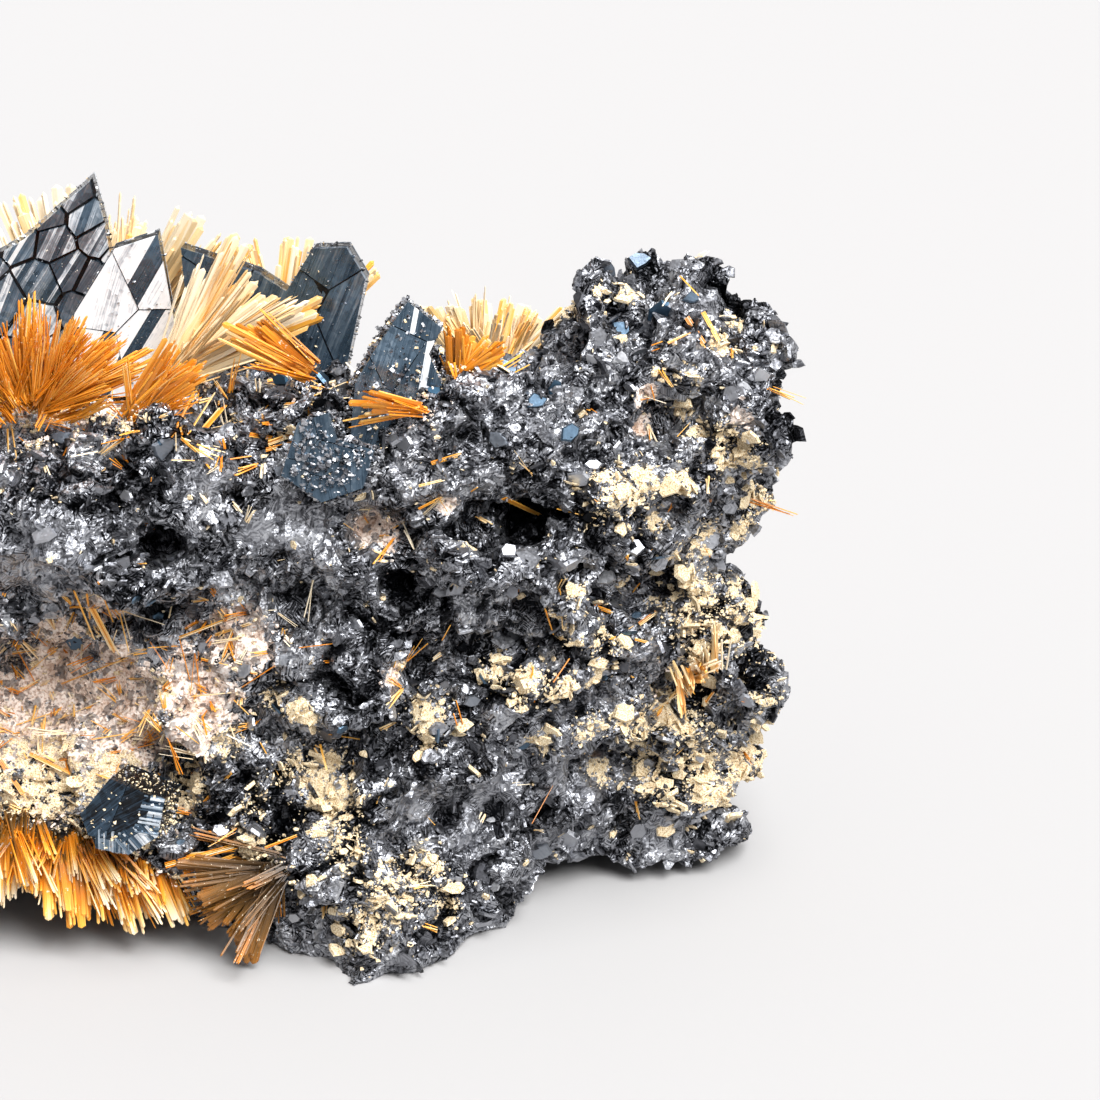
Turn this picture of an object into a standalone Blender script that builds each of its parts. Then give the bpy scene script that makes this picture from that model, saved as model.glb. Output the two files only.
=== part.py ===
"""A cabinet specimen of hematite with rutile: one granular hematite rock that carries
tabular hematite crystals and sprays of golden rutile needles.

Metres, +Z up, -Y is the show face. Sizes below are in millimetres times MM.
"""

import math
import random
from dataclasses import dataclass

import bmesh
import bpy
from mathutils import Matrix, Vector, geometry, noise

MM = 0.001

# Driving dimensions
CLEARANCE = 0.3 * MM  # gap between a crystal's root and its socket in the rock
ROCK_VOXEL = 0.9 * MM
ROCK_TRIANGLES = 4700
BLOCK_SIZE = 7.0 * MM  # the coarse broken blocks of the rock face
BLOCK_RELIEF = 2.0 * MM
GRAIN_SIZE = 3.2 * MM  # the lumps that sit on the blocks
GRAIN_RELIEF = 0.9 * MM
BLOCK_TILT = 2.2  # how steeply the face of a block may lean, as rise over run
TILT_SEED = 7.3  # two unlike numbers that give each block a tilt and a lift of its own
LIFT_SEED = 3.1
LEDGE_PITCH = 9.0 * MM  # height from one bedding ledge to the next
LEDGE_RELIEF = 1.6 * MM
LEDGE_SHARE = 0.8  # the share of a pitch over which the ledge steps out
LEDGE_WAVE = 16.0 * MM  # length of the waves in the bedding
LEDGE_WARP = 0.45  # height of those waves over the pitch
BASE_CUTTER = (140, 90, 20)  # millimetres, larger than the rock
SOCKET_CORNER = 1.3  # a socket's corners move out this much further than its sides
RUTILE_FLATNESS = 0.55  # a rutile blade's thickness over its width
BLADE_TIP = ((0.8, 0.92), (1.0, 0.45))  # shares of the length and width where a tip starts and ends
BLADE_WANDER = 4.0  # degrees that a blade may stray within the fan
BLADE_TILT = 7.0  # degrees that it may stray out of the fan's plane
LAYER_TILT = 16.0  # degrees between the layers of a spray
ROOT_SHARE = 0.85  # radius of a spray's root over the width of its blades

# One outline of the rock per station along X, as (y, z) points in millimetres: foot, lip,
# recess, overhang, front rim, crest, back rim, back and heel.
ROCK_SECTIONS = {
    -45.0: [(-2, 13), (-5, 17), (-5, 21), (-7, 26), (-5, 31), (0, 33), (5, 30), (6, 22), (4, 13)],
    -42.0: [(-6, 6), (-10, 11), (-8, 18), (-13, 27), (-9, 37), (0, 39), (8, 35), (11, 22), (8, 4)],
    -36.0: [(-8, 2), (-14, 8), (-10, 18), (-16, 30), (-12, 42), (0, 43), (12, 39), (15, 22), (11, -2)],
    -27.0: [(-9, 2), (-16, 7), (-11, 20), (-18, 33), (-13, 45), (0, 44), (15, 40), (17, 22), (14, -3)],
    -18.0: [(-9, 3), (-17, 8), (-11, 20), (-18, 34), (-14, 46), (0, 44), (17, 41), (18, 22), (15, -3)],
    -6.0: [(-10, 1), (-17, 9), (-12, 21), (-18, 35), (-14, 47), (1, 44), (18, 41), (19, 22), (16, -3)],
    3.0: [(-16, -3), (-19, 8), (-16, 23), (-18, 36), (-14, 47), (1, 45), (18, 40), (19, 22), (16, -3)],
    9.0: [(-24, -3), (-22, 5), (-18, 20), (-18, 36), (-13, 48), (1, 45), (17, 39), (19, 22), (16, -3)],
    17.0: [(-15, -2), (-17, 8), (-17, 20), (-18, 36), (-12, 48), (1, 46), (16, 38), (18, 22), (15, -3)],
    26.0: [(-8, 2), (-12, 9), (-14, 22), (-16, 36), (-11, 48), (0, 46.5), (13, 39), (16, 24), (13, -3)],
    27.5: [(-7, 2), (-12, 9), (-13, 22), (-15, 36), (-10, 50), (-1, 56), (11, 50), (15, 25), (12, -3)],
    36.0: [(-5, 1), (-9, 8), (-8, 23), (-12, 35), (-9, 49), (0, 54.0), (10, 50), (13, 26), (10, -2)],
    42.0: [(-2, 3), (-4, 8), (-4, 24), (-6, 35), (-8, 47), (0, 52), (7, 48), (9, 26), (7, 0)],
    45.0: [(2, 8), (0, 12), (0, 22), (-1, 34), (-5, 44), (0, 50), (4, 45), (4, 26), (4, 8)],
}


@dataclass(frozen=True)
class Hollow:
    """A pit, vug or notch in the rock, or a crevice where it has a second end. Millimetres.
    One with a negative depth is a knoll."""

    at: tuple
    radius: float
    depth: float
    to: tuple = None


HOLLOWS = [
    Hollow((12.3, -19, 38.5), 4.2, 6.0),  # pale cavity at the middle of the face
    Hollow((9.0, -19, 41.0), 2.8, 4.0),
    Hollow((15.0, -18, 41.0), 2.6, 3.6, to=(25.5, -16, 38.0)),  # shade under the upper ledge
    Hollow((36, -10, 26.0), 4.0, 5.0),  # vug with the boxwork of rutile
    Hollow((38, -8, 18.5), 3.4, 4.0),
    Hollow((48, 0, 28.0), 6.5, 6.0),  # notch in the right-hand end
    Hollow((-13, -12, 24.5), 7.5, 2.0, to=(-28, -12, 22)),  # shelter filled with pale gangue
    Hollow((24.8, -4, 50.0), 3.0, 2.6),  # undercut of the knob
    Hollow((48, -3, 40.0), 4.5, 3.0),
    Hollow((45, -2, 48.5), 5.0, -1.5),  # shoulder of the knob
    Hollow((32, -12, 43.0), 2.2, 2.4, to=(40, -9, 41.5)),  # crevice under the knob
    Hollow((17, -19, 13.5), 2.4, 2.4, to=(38, -7, 12.5)),  # long crevice above the foot
    Hollow((13, -20, 28.0), 2.2, 2.2, to=(30, -14, 24.0)),
    Hollow((-22, -19, 33.0), 2.2, 2.2, to=(4, -19, 32.0)),
    Hollow((1.5, -17, 20.0), 3.0, 2.6),
    Hollow((-20, 19, 28.0), 6.0, 3.0),  # back face
    Hollow((8, 20, 20.0), 6.0, 3.4, to=(-6, 20, 12.0)),
    Hollow((25, 17, 33.0), 5.0, 2.8),
    Hollow((-10, 19, 35.0), 2.4, 2.6, to=(20, 19, 36.0)),
]


@dataclass(frozen=True)
class Plate:
    """A tabular crystal: its outline as (x, z) points, the y of its middle plane, and its lean."""

    name: str
    outline: list
    y: float
    thickness: float
    lean: float = 0.0  # degrees back from upright
    turn: float = 0.0  # degrees about the vertical
    terrace: float = 1.3  # how far the raised growth step keeps from the edge
    step: float = 0.25  # height of that step


PLATES = [
    Plate(
        "hematite_plate_tall",
        [(-26, 41), (-25.5, 49), (-21, 51), (-17.5, 53), (-11.7, 58.2), (-10.8, 54.5), (-9.2, 41)],
        8.6, 1.7, lean=6,
    ),
    Plate(
        "hematite_plate_bright",
        [(-13.5, 41), (-13.2, 48), (-9.8, 53.4), (-6.2, 54.6), (-5.0, 46.5), (-4.6, 41)],
        5.2, 1.5, lean=6, terrace=1.0,
    ),
    Plate(
        "hematite_plate_broad",
        [(-3.6, 40), (-4.8, 51.6), (1.6, 49.8), (4.0, 48.3), (6.2, 52.0), (9.0, 52.2), (10.6, 49.6),
         (8.6, 40)],
        9.2, 1.6, lean=10, turn=-6,
    ),
    Plate(
        "hematite_plate_outer",
        [(-35, 38), (-36, 47), (-31, 51), (-27.5, 49), (-27, 38)],
        4.0, 1.6, lean=8, turn=10,
    ),
    Plate(
        "hematite_blade_front",
        [(9.2, 42), (10.0, 48), (12.0, 51.0), (14.4, 54.2), (17.0, 52.0), (15.9, 50), (17.2, 46.5),
         (14.5, 42)],
        -8.8, 2.2, lean=14, turn=8, terrace=0.9,
    ),
    Plate(
        "hematite_blade_lower",
        [(5.0, 42.2), (6.0, 46.4), (8.4, 47.4), (9.2, 45.4), (12.2, 44.8), (11.6, 41.8), (8.4, 40.4)],
        -15.2, 2.6, lean=22, turn=-12, terrace=0.8,
    ),
    Plate(
        "hematite_crystal_low",
        [(-11.6, 13.6), (-9.2, 16.9), (-4.7, 15.6), (-5.2, 12.4), (-7.6, 10.6), (-10.4, 10.8)],
        -17.2, 4.0, lean=12, turn=-14, terrace=0.7, step=0.3,
    ),
]


@dataclass(frozen=True)
class Spray:
    """A fan or curtain of rutile blades. Places and lengths are in millimetres."""

    name: str
    root: tuple
    aim: tuple  # middle direction of the blades
    face: tuple  # normal of the fan's plane
    spread: float  # degrees from the first blade to the last
    count: int
    length: float
    width: float
    row: tuple = (0, 0, 0)  # the roots lie along this line, for a curtain
    layers: int = 1
    seed: int = 1
    finish: str = "rutile"


SPRAYS = [
    Spray("rutile_spray_front", (-17.5, -9.0, 45.8), (0.25, -0.1, 1), (0.1, 1, 0.2), 95, 6, 9.0, 1.5,
          row=(4.5, 0, 0.4), layers=2, seed=3),
    Spray("rutile_bundle_left", (-7.6, -12.2, 45.8), (0.72, -0.1, 0.8), (0, 1, 0), 26, 4, 8.8, 1.3,
          seed=5),
    Spray("rutile_fan_pale", (-6.0, 2.2, 43.0), (0.78, 0.1, 0.62), (-0.1, 1, 0.1), 44, 7, 15.5, 1.7,
          seed=7, finish="rutile_pale"),
    Spray("rutile_bundle_middle", (6.6, -8.0, 48.0), (-0.85, -0.05, 0.62), (0, 1, 0), 16, 3, 8.2, 1.5,
          seed=9),
    Spray("rutile_spray_cross", (15.6, -13.2, 47.2), (-0.95, -0.18, 0.12), (0.1, 1, 0.4), 34, 5, 6.6, 0.9,
          seed=11),
    Spray("rutile_spray_rim", (18.2, -8.0, 47.5), (0.55, -0.15, 0.8), (0, 1, 0), 70, 5, 5.4, 1.2, seed=13),
    Spray("rutile_spray_back_left", (-15, 12.4, 42.5), (0.15, 0.12, 1), (0, 1, -0.1), 60, 6, 13.5, 1.8,
          row=(6, 0, 0), seed=15, finish="rutile_pale"),
    Spray("rutile_spray_back_middle", (0, 14.2, 41.5), (0.0, 0.12, 1), (0, 1, -0.1), 80, 6, 9.5, 1.6,
          row=(5, 0, 0), seed=17),
    Spray("rutile_spray_back_right", (18, 12.5, 40.5), (0.1, 0.1, 1), (0, 1, -0.1), 80, 6, 6.6, 1.5,
          row=(5, 0, 0), seed=19, finish="rutile_pale"),
    Spray("rutile_curtain_low", (-20.0, -15.0, 11.2), (0.12, -0.25, -0.82), (0, -1, 0.2), 26, 9, 7.0, 1.8,
          row=(13.5, 0, -3.4), seed=21),
    Spray("rutile_fan_low", (3.4, -17.6, 8.4), (-0.86, -0.12, -0.62), (0.1, 1, 0), 78, 7, 8.6, 1.4,
          seed=23),
    Spray("rutile_boxwork", (36.0, -7.6, 21.0), (0.1, -0.9, 0.5), (1, 0.2, 0), 110, 5, 4.6, 1.2,
          row=(3, 0, 0.5), seed=25, finish="rutile_pale"),
    Spray("rutile_spray_outer", (-32, -9.0, 43.0), (-0.35, -0.2, 1), (0, 1, 0.2), 95, 6, 7.5, 1.4,
          row=(4, 0, 0), seed=27),
    Spray("rutile_curtain_outer", (-33.5, -12.6, 9.6), (-0.1, -0.3, -0.75), (0, -1, 0.2), 30, 6, 6.2, 1.6,
          row=(9, 0, 0.4), seed=29),
]

COLOURS = {
    "hematite_rock": ((0.13, 0.135, 0.15), 0.42, 0.8),
    "hematite_crystal": ((0.16, 0.19, 0.23), 0.2, 0.9),
    "rutile": ((0.72, 0.36, 0.08), 0.35, 0.0),
    "rutile_pale": ((0.86, 0.68, 0.42), 0.35, 0.0),
}


def point(place):
    """A place in millimetres as a vector in metres."""
    return Vector(place) * MM


def new_object(name, build, finish):
    """A named object from a bmesh, with its finish."""
    mesh = bpy.data.meshes.new(name)
    build.to_mesh(mesh)
    build.free()
    obj = bpy.data.objects.new(name, mesh)
    bpy.context.scene.collection.objects.link(obj)
    obj.data.materials.append(finish)
    return obj


def finish_named(name):
    """The Principled material of one of the finishes in COLOURS."""
    colour, roughness, metallic = COLOURS[name]
    material = bpy.data.materials.new(name)
    material.use_nodes = True
    shader = material.node_tree.nodes["Principled BSDF"]
    shader.inputs["Base Color"].default_value = (*colour, 1)
    shader.inputs["Roughness"].default_value = roughness
    shader.inputs["Metallic"].default_value = metallic
    return material


def applied(obj):
    """Replaces the object's mesh by its evaluated mesh, and drops the modifiers."""
    bpy.context.view_layer.update()
    graph = bpy.context.evaluated_depsgraph_get()
    mesh = bpy.data.meshes.new_from_object(obj.evaluated_get(graph))
    obj.modifiers.clear()
    obj.data = mesh
    return obj


def combine(obj, other, operation, own_shells=False):
    """Joins another solid to the object, or cuts it away, then deletes that solid."""
    modifier = obj.modifiers.new("combine", "BOOLEAN")
    modifier.operation = operation
    modifier.object = other
    modifier.solver = "EXACT"
    modifier.use_self = own_shells
    applied(obj)
    bpy.data.objects.remove(other)


def rock_body():
    """The rock's smooth block: its sections bridged into one closed skin."""
    build = bmesh.new()
    rings = []
    for x, outline in ROCK_SECTIONS.items():
        ring = [build.verts.new(point((x, y, z))) for y, z in outline]
        rings.append(ring)
    for ring, following in zip(rings, rings[1:]):
        for i in range(len(ring)):
            j = (i + 1) % len(ring)
            build.faces.new((ring[i], ring[j], following[j], following[i]))
    build.faces.new(reversed(rings[0]))
    build.faces.new(rings[-1])
    bmesh.ops.recalc_face_normals(build, faces=build.faces)
    return build


def block_height(place, size, offset):
    """The height of a faceted block at a place: one tilted plane for each Voronoi cell."""
    centre = noise.voronoi(place / size + offset)[1][0]
    tilt = noise.cell_vector(centre * TILT_SEED + offset) - Vector((0.5, 0.5, 0.5))
    lift = noise.cell(centre * LIFT_SEED - offset) - 0.5
    return BLOCK_TILT * tilt.dot(place / size + offset - centre) + lift


def ledge_height(place):
    """Bedding: the face steps out slowly going up, then drops back under each ledge."""
    warp = LEDGE_WARP * noise.noise(place / LEDGE_WAVE)
    rise = (place.z / LEDGE_PITCH + warp) % 1.0
    if rise < LEDGE_SHARE:
        return rise
    return LEDGE_SHARE * (1 - rise) / (1 - LEDGE_SHARE)


def hollow_depth(place):
    """How deep the named pits and crevices cut at a place."""
    depth = 0.0
    for hollow in HOLLOWS:
        nearest = point(hollow.at)
        if hollow.to:
            end = point(hollow.to)
            share = geometry.intersect_point_line(place, nearest, end)[1]
            nearest = nearest.lerp(end, min(max(share, 0), 1))
        reach = (place - nearest).length / (hollow.radius * MM)
        if reach < 1:
            depth += hollow.depth * MM * (1 - reach**3)
    return depth


def relief(place, normal):
    """How far the rock's surface stands out from its smooth block."""
    side = 1 - abs(normal.z)
    block = BLOCK_RELIEF * block_height(place, BLOCK_SIZE, Vector((5.1, 0.7, 2.2)))
    grain = GRAIN_RELIEF * block_height(place, GRAIN_SIZE, Vector((1.3, 8.2, 4.4)))
    ledge = LEDGE_RELIEF * side * (ledge_height(place) - LEDGE_SHARE / 2)
    return block + grain + ledge - hollow_depth(place)


def make_rock(finish):
    """The granular hematite rock, cut off flat where it stands."""
    rock = new_object("hematite_rock", rock_body(), finish)
    remesh = rock.modifiers.new("even", "REMESH")
    remesh.mode = "VOXEL"
    remesh.voxel_size = ROCK_VOXEL
    applied(rock)
    mesh = rock.data
    moved = [v.co + v.normal * relief(v.co, v.normal) for v in mesh.vertices]
    for vertex, place in zip(mesh.vertices, moved):
        vertex.co = place
    again = rock.modifiers.new("clean", "REMESH")
    again.mode = "VOXEL"
    again.voxel_size = ROCK_VOXEL
    applied(rock)
    reduce = rock.modifiers.new("facets", "DECIMATE")
    reduce.ratio = ROCK_TRIANGLES / triangle_count(rock.data)
    applied(rock)
    cut_base(rock)
    return rock


def triangle_count(mesh):
    """How many triangles the mesh has."""
    mesh.calc_loop_triangles()
    return len(mesh.loop_triangles)


def keep_largest_shell(obj):
    """Drops the crumbs that a cut may leave beside the main body."""
    build = bmesh.new()
    build.from_mesh(obj.data)
    shells = []
    unseen = set(build.verts)
    while unseen:
        shell, edge_of_shell = set(), [unseen.pop()]
        while edge_of_shell:
            vertex = edge_of_shell.pop()
            shell.add(vertex)
            near = {edge.other_vert(vertex) for edge in vertex.link_edges} & unseen
            unseen -= near
            edge_of_shell.extend(near)
        shells.append(shell)
    shells.sort(key=len)
    for crumb in shells[:-1]:
        bmesh.ops.delete(build, geom=list(crumb), context="VERTS")
    build.to_mesh(obj.data)
    build.free()


def cut_base(rock):
    """Takes off everything under z = 0, which leaves the flat faces it rests on."""
    build = bmesh.new()
    bmesh.ops.create_cube(build, size=1)
    bmesh.ops.scale(build, vec=point(BASE_CUTTER), verts=build.verts)
    bmesh.ops.translate(build, vec=point((0, 0, -BASE_CUTTER[2] / 2)), verts=build.verts)
    combine(rock, new_object("floor_cutter", build, rock.data.materials[0]), "DIFFERENCE")


def plate_solid(plate, grow=0.0):
    """A tabular crystal with a raised growth step on its front face. One that is grown is
    the cutter of its socket, and has no step."""
    build = bmesh.new()
    middle = sum((Vector((x, 0, z)) for x, z in plate.outline), Vector()) / len(plate.outline)
    half = plate.thickness / 2 * MM + grow
    corners = []
    for x, z in plate.outline:
        spoke = Vector((x, 0, z)) - middle
        corners.append(spoke * MM + spoke.normalized() * SOCKET_CORNER * grow)
    back = [build.verts.new(corner + Vector((0, half, 0))) for corner in corners]
    face = build.faces.new(back)
    grown = bmesh.ops.extrude_face_region(build, geom=[face])
    front = [v for v in grown["geom"] if isinstance(v, bmesh.types.BMVert)]
    bmesh.ops.translate(build, vec=Vector((0, -2 * half, 0)), verts=front)
    front_face = next(f for f in grown["geom"] if isinstance(f, bmesh.types.BMFace))
    if not grow:
        bmesh.ops.inset_region(build, faces=[front_face], thickness=plate.terrace * MM)
        step = bmesh.ops.extrude_face_region(build, geom=[front_face])
        raised = [v for v in step["geom"] if isinstance(v, bmesh.types.BMVert)]
        bmesh.ops.translate(build, vec=Vector((0, -plate.step * MM, 0)), verts=raised)
        bmesh.ops.delete(build, geom=[front_face], context="FACES_ONLY")
    bmesh.ops.recalc_face_normals(build, faces=build.faces)
    turned = Matrix.Rotation(math.radians(plate.turn), 4, "Z")
    leaned = Matrix.Rotation(math.radians(-plate.lean), 4, "X")
    place = point((middle.x, plate.y, middle.z))
    bmesh.ops.transform(build, matrix=Matrix.Translation(place) @ turned @ leaned, verts=build.verts)
    return build


def blade_frame(direction, face):
    """Rotation that takes +Z to the blade's direction and keeps its flat side in the fan's plane."""
    side = face.cross(direction).normalized()
    flat = direction.cross(side).normalized()
    return Matrix((side, flat, direction)).transposed().to_4x4()


def add_blade(build, root, direction, face, length, width, grow):
    """One rutile blade: a flat prism with a chisel tip, as a closed shell of its own."""
    half_width = width / 2 + grow
    half_depth = width * RUTILE_FLATNESS / 2 + grow
    reach = length + grow
    levels = [(-grow, 1.0)] + [(reach * high, wide) for high, wide in BLADE_TIP]
    corners = ((-1, -1), (1, -1), (1, 1), (-1, 1))
    rings = []
    for height, share in levels:
        rings.append(
            [build.verts.new((a * half_width * share, b * half_depth, height)) for a, b in corners]
        )
    for ring, following in zip(rings, rings[1:]):
        for i in range(4):
            j = (i + 1) % 4
            build.faces.new((ring[i], ring[j], following[j], following[i]))
    build.faces.new(reversed(rings[0]))
    build.faces.new(rings[-1])
    matrix = Matrix.Translation(root) @ blade_frame(direction, face)
    bmesh.ops.transform(build, matrix=matrix, verts=[v for ring in rings for v in ring])


def spray_solid(spray, grow=0.0):
    """A spray's blades as overlapping shells, and the root that they grow from."""
    dice = random.Random(spray.seed)
    blades = bmesh.new()
    aim = Vector(spray.aim).normalized()
    face = (Vector(spray.face) - aim * aim.dot(Vector(spray.face))).normalized()
    row = point(spray.row)
    # The fan opens along its row, so that the blades of a curtain don't cross.
    sense = 1 if row.dot(face.cross(aim)) >= 0 else -1
    for layer in range(spray.layers):
        layer_tilt = LAYER_TILT * (layer - (spray.layers - 1) / 2)
        for i in range(spray.count):
            share = i / (spray.count - 1) - 0.5
            angle = math.radians(spray.spread * share + dice.uniform(-BLADE_WANDER, BLADE_WANDER))
            tilt = math.radians(dice.uniform(-BLADE_TILT, BLADE_TILT) + layer_tilt)
            direction = Matrix.Rotation(sense * angle, 3, face) @ aim
            direction = Matrix.Rotation(tilt, 3, face.cross(aim)) @ direction
            length = spray.length * MM * dice.uniform(0.72, 1.0)
            width = spray.width * MM * dice.uniform(0.75, 1.15)
            root = point(spray.root) + row * (share + 0.5)
            add_blade(blades, root, direction, face, length, width, grow)
    root = bmesh.new()
    bmesh.ops.create_icosphere(root, subdivisions=1, radius=1)
    radius = ROOT_SHARE * spray.width * MM + grow
    stretch = Vector((radius + row.length / 2, radius, radius))
    bmesh.ops.scale(root, vec=stretch, verts=root.verts)
    along = row.normalized() if row.length else Vector((1, 0, 0))
    turned = along.to_track_quat("X", "Z").to_matrix().to_4x4()
    place = Matrix.Translation(point(spray.root) + row / 2)
    bmesh.ops.transform(root, matrix=place @ turned, verts=root.verts)
    return root, blades


def make_spray(spray, finish, grow=0.0):
    """One solid of a spray, its blades fused to their root."""
    root, blades = spray_solid(spray, grow)
    obj = new_object(spray.name, root, finish)
    combine(obj, new_object(spray.name + "_blades", blades, finish), "UNION", own_shells=True)
    return obj


def stand_on_origin(objects):
    """Moves the whole specimen so that the middle of its base box is the origin."""
    places = [v.co for obj in objects for v in obj.data.vertices]
    low = Vector(min(p[i] for p in places) for i in range(3))
    high = Vector(max(p[i] for p in places) for i in range(3))
    shift = Matrix.Translation(-Vector(((low.x + high.x) / 2, (low.y + high.y) / 2, low.z)))
    for obj in objects:
        obj.data.transform(shift)


def main():
    """Makes the rock, then each crystal and the socket in the rock that it grows from."""
    for obj in list(bpy.data.objects):
        bpy.data.objects.remove(obj)
    finishes = {name: finish_named(name) for name in COLOURS}
    rock = make_rock(finishes["hematite_rock"])
    parts = [rock]
    for plate in PLATES:
        socket = new_object("socket", plate_solid(plate, CLEARANCE), finishes["hematite_rock"])
        combine(rock, socket, "DIFFERENCE")
        parts.append(new_object(plate.name, plate_solid(plate), finishes["hematite_crystal"]))
    for spray in SPRAYS:
        combine(rock, make_spray(spray, finishes["hematite_rock"], CLEARANCE), "DIFFERENCE")
        parts.append(make_spray(spray, finishes[spray.finish]))
    keep_largest_shell(rock)
    stand_on_origin(parts)


main()
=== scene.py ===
"""Dresses the hematite with rutile specimen: a granular metallic rock, cracked and striated
hematite plates, bundles of rutile needles, cream and pinkish gangue, and a pale studio."""

import logging
import math
import random
from dataclasses import dataclass, field, replace
from enum import Enum

import bmesh
import bpy
import numpy as np
from mathutils import Matrix, Vector, noise
from mathutils.bvhtree import BVHTree


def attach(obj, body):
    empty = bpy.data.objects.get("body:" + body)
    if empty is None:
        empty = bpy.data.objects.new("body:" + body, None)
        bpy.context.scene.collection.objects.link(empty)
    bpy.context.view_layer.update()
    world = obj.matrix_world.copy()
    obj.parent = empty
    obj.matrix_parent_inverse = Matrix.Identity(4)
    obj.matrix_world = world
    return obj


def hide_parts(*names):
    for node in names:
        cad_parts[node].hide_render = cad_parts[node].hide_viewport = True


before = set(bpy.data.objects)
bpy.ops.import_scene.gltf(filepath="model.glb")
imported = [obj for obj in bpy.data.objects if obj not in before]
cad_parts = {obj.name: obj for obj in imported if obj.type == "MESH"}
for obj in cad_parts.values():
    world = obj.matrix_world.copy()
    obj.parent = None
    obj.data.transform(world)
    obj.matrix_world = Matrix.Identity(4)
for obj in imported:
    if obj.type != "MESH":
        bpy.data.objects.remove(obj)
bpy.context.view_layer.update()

MM = 0.001
BODY = "root"
PHOTO_SIDE = 1100  # pixels
LOG = logging.getLogger("specimen")


class Slot(Enum):
    """The record's material slots."""

    ROCK = "hematite_rock"
    CRYSTAL = "hematite_crystal"
    RUTILE = "rutile"
    PALE = "rutile_pale"


class Ground(Enum):
    """What covers the rock, or hollows it, where it isn't bare granular hematite."""

    GANGUE = "gangue"
    CREAM = "cream"
    SMOOTH = "smooth"
    HOLLOW = "hollow"


# Middles and radii of the patches of each ground, as (u, v, radius) in the photograph's pixels.
PATCHES = {
    Ground.GANGUE: [
        (110, 606, 32), (60, 640, 46), (120, 655, 44), (60, 695, 70), (140, 705, 66),
        (200, 690, 56), (240, 640, 44), (20, 720, 76), (110, 745, 56), (190, 740, 40),
        (-60, 680, 86), (-120, 700, 86), (378, 532, 32), (446, 503, 16), (396, 672, 18),
        (60, 376, 50), (0, 374, 50), (110, 384, 40), (645, 395, 16), (640, 425, 14), (740, 418, 16),
        (-30, 408, 28), (15, 410, 24), (62, 412, 24), (105, 405, 20),
    ],
    Ground.CREAM: [
        (160, 687, 20), (40, 775, 70), (112, 784, 52), (-40, 770, 66), (190, 790, 32),
        (225, 742, 22), (250, 850, 30), (330, 800, 38), (300, 770, 28), (330, 760, 22),
        (345, 845, 28), (300, 715, 22), (365, 610, 9), (430, 715, 28), (425, 745, 20),
        (620, 505, 34), (600, 520, 20), (740, 462, 34), (765, 500, 22), (700, 540, 26),
        (672, 560, 24), (690, 600, 44), (740, 620, 42), (760, 640, 28), (655, 600, 18),
        (520, 680, 28), (495, 672, 26), (600, 680, 22), (575, 645, 13), (560, 690, 26),
        (612, 640, 24), (700, 655, 28), (742, 590, 26), (645, 480, 26), (722, 440, 24),
        (560, 620, 18), (650, 762, 28), (522, 700, 18), (600, 478, 16), (682, 482, 22),
        (690, 380, 16), (600, 290, 12), (575, 590, 14), (745, 530, 22), (680, 715, 44),
        (640, 730, 34), (750, 765, 46), (700, 770, 36), (765, 700, 24), (660, 790, 26),
        (720, 800, 30), (590, 730, 22), (540, 745, 20), (600, 770, 20), (390, 900, 36),
        (360, 930, 32), (420, 870, 32), (450, 905, 22), (720, 345, 18), (735, 320, 14),
        (630, 292, 16), (700, 425, 16), (545, 562, 12), (470, 540, 16), (655, 520, 18),
        (270, 700, 16), (280, 690, 12), (255, 800, 22), (300, 435, 22), (235, 425, 14),
        (185, 405, 14), (660, 375, 12), (680, 410, 14), (20, 800, 40),
    ],
    Ground.SMOOTH: [
        (30, 570, 46), (60, 545, 34), (90, 590, 24), (300, 538, 34), (260, 532, 26), (205, 470, 26),
        (560, 830, 40), (600, 790, 36), (500, 790, 40), (460, 830, 30), (655, 835, 30),
        (700, 300, 24), (410, 800, 26), (560, 770, 24),
    ],
    Ground.HOLLOW: [
        (352, 486, 20), (525, 520, 22), (660, 580, 22), (695, 690, 24), (432, 670, 20),
        (560, 814, 22), (500, 814, 18), (620, 802, 18), (448, 818, 14), (680, 788, 14),
        (228, 655, 13), (120, 628, 10), (245, 500, 18), (112, 500, 14), (590, 455, 14),
        (640, 520, 12), (480, 640, 16), (300, 600, 20), (20, 480, 16), (160, 540, 16),
        (330, 690, 18), (380, 760, 16), (530, 610, 18), (610, 640, 14), (740, 560, 14),
        (760, 680, 12), (600, 350, 10), (700, 470, 12), (410, 860, 14), (470, 760, 16),
        (550, 380, 14), (470, 440, 14), (650, 340, 12), (560, 540, 12), (280, 560, 14),
        (400, 590, 14),
    ],
}

# The same for the sides that the photograph doesn't show, as (x, y, z, radius) in millimetres.
HIDDEN_PATCHES = {
    Ground.GANGUE: [
        (-20, 19, 26, 8), (-12, 19, 22, 6), (8, 20, 20, 7), (25, 16, 33, 5), (-42, -4, 20, 6),
    ],
    Ground.CREAM: [
        (-34, 14, 30, 6), (-26, 18, 16, 7), (16, 18, 12, 7), (2, 19, 33, 5), (34, 12, 22, 7),
        (38, 8, 42, 4), (-40, 8, 14, 6), (-45, 0, 28, 5), (42, 3, 14, 5), (28, 10, 48, 4),
        (-33, -16, 22, 6), (10, 6, 46, 5),
    ],
    Ground.SMOOTH: [
        (-6, 20, 10, 6), (22, 17, 24, 6), (-38, 12, 36, 5),
    ],
    Ground.HOLLOW: [
        (-28, 18, 24, 2), (-4, 20, 26, 2.4), (14, 20, 28, 2), (30, 16, 14, 2.2), (-16, 20, 12, 2),
    ],
}

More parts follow.
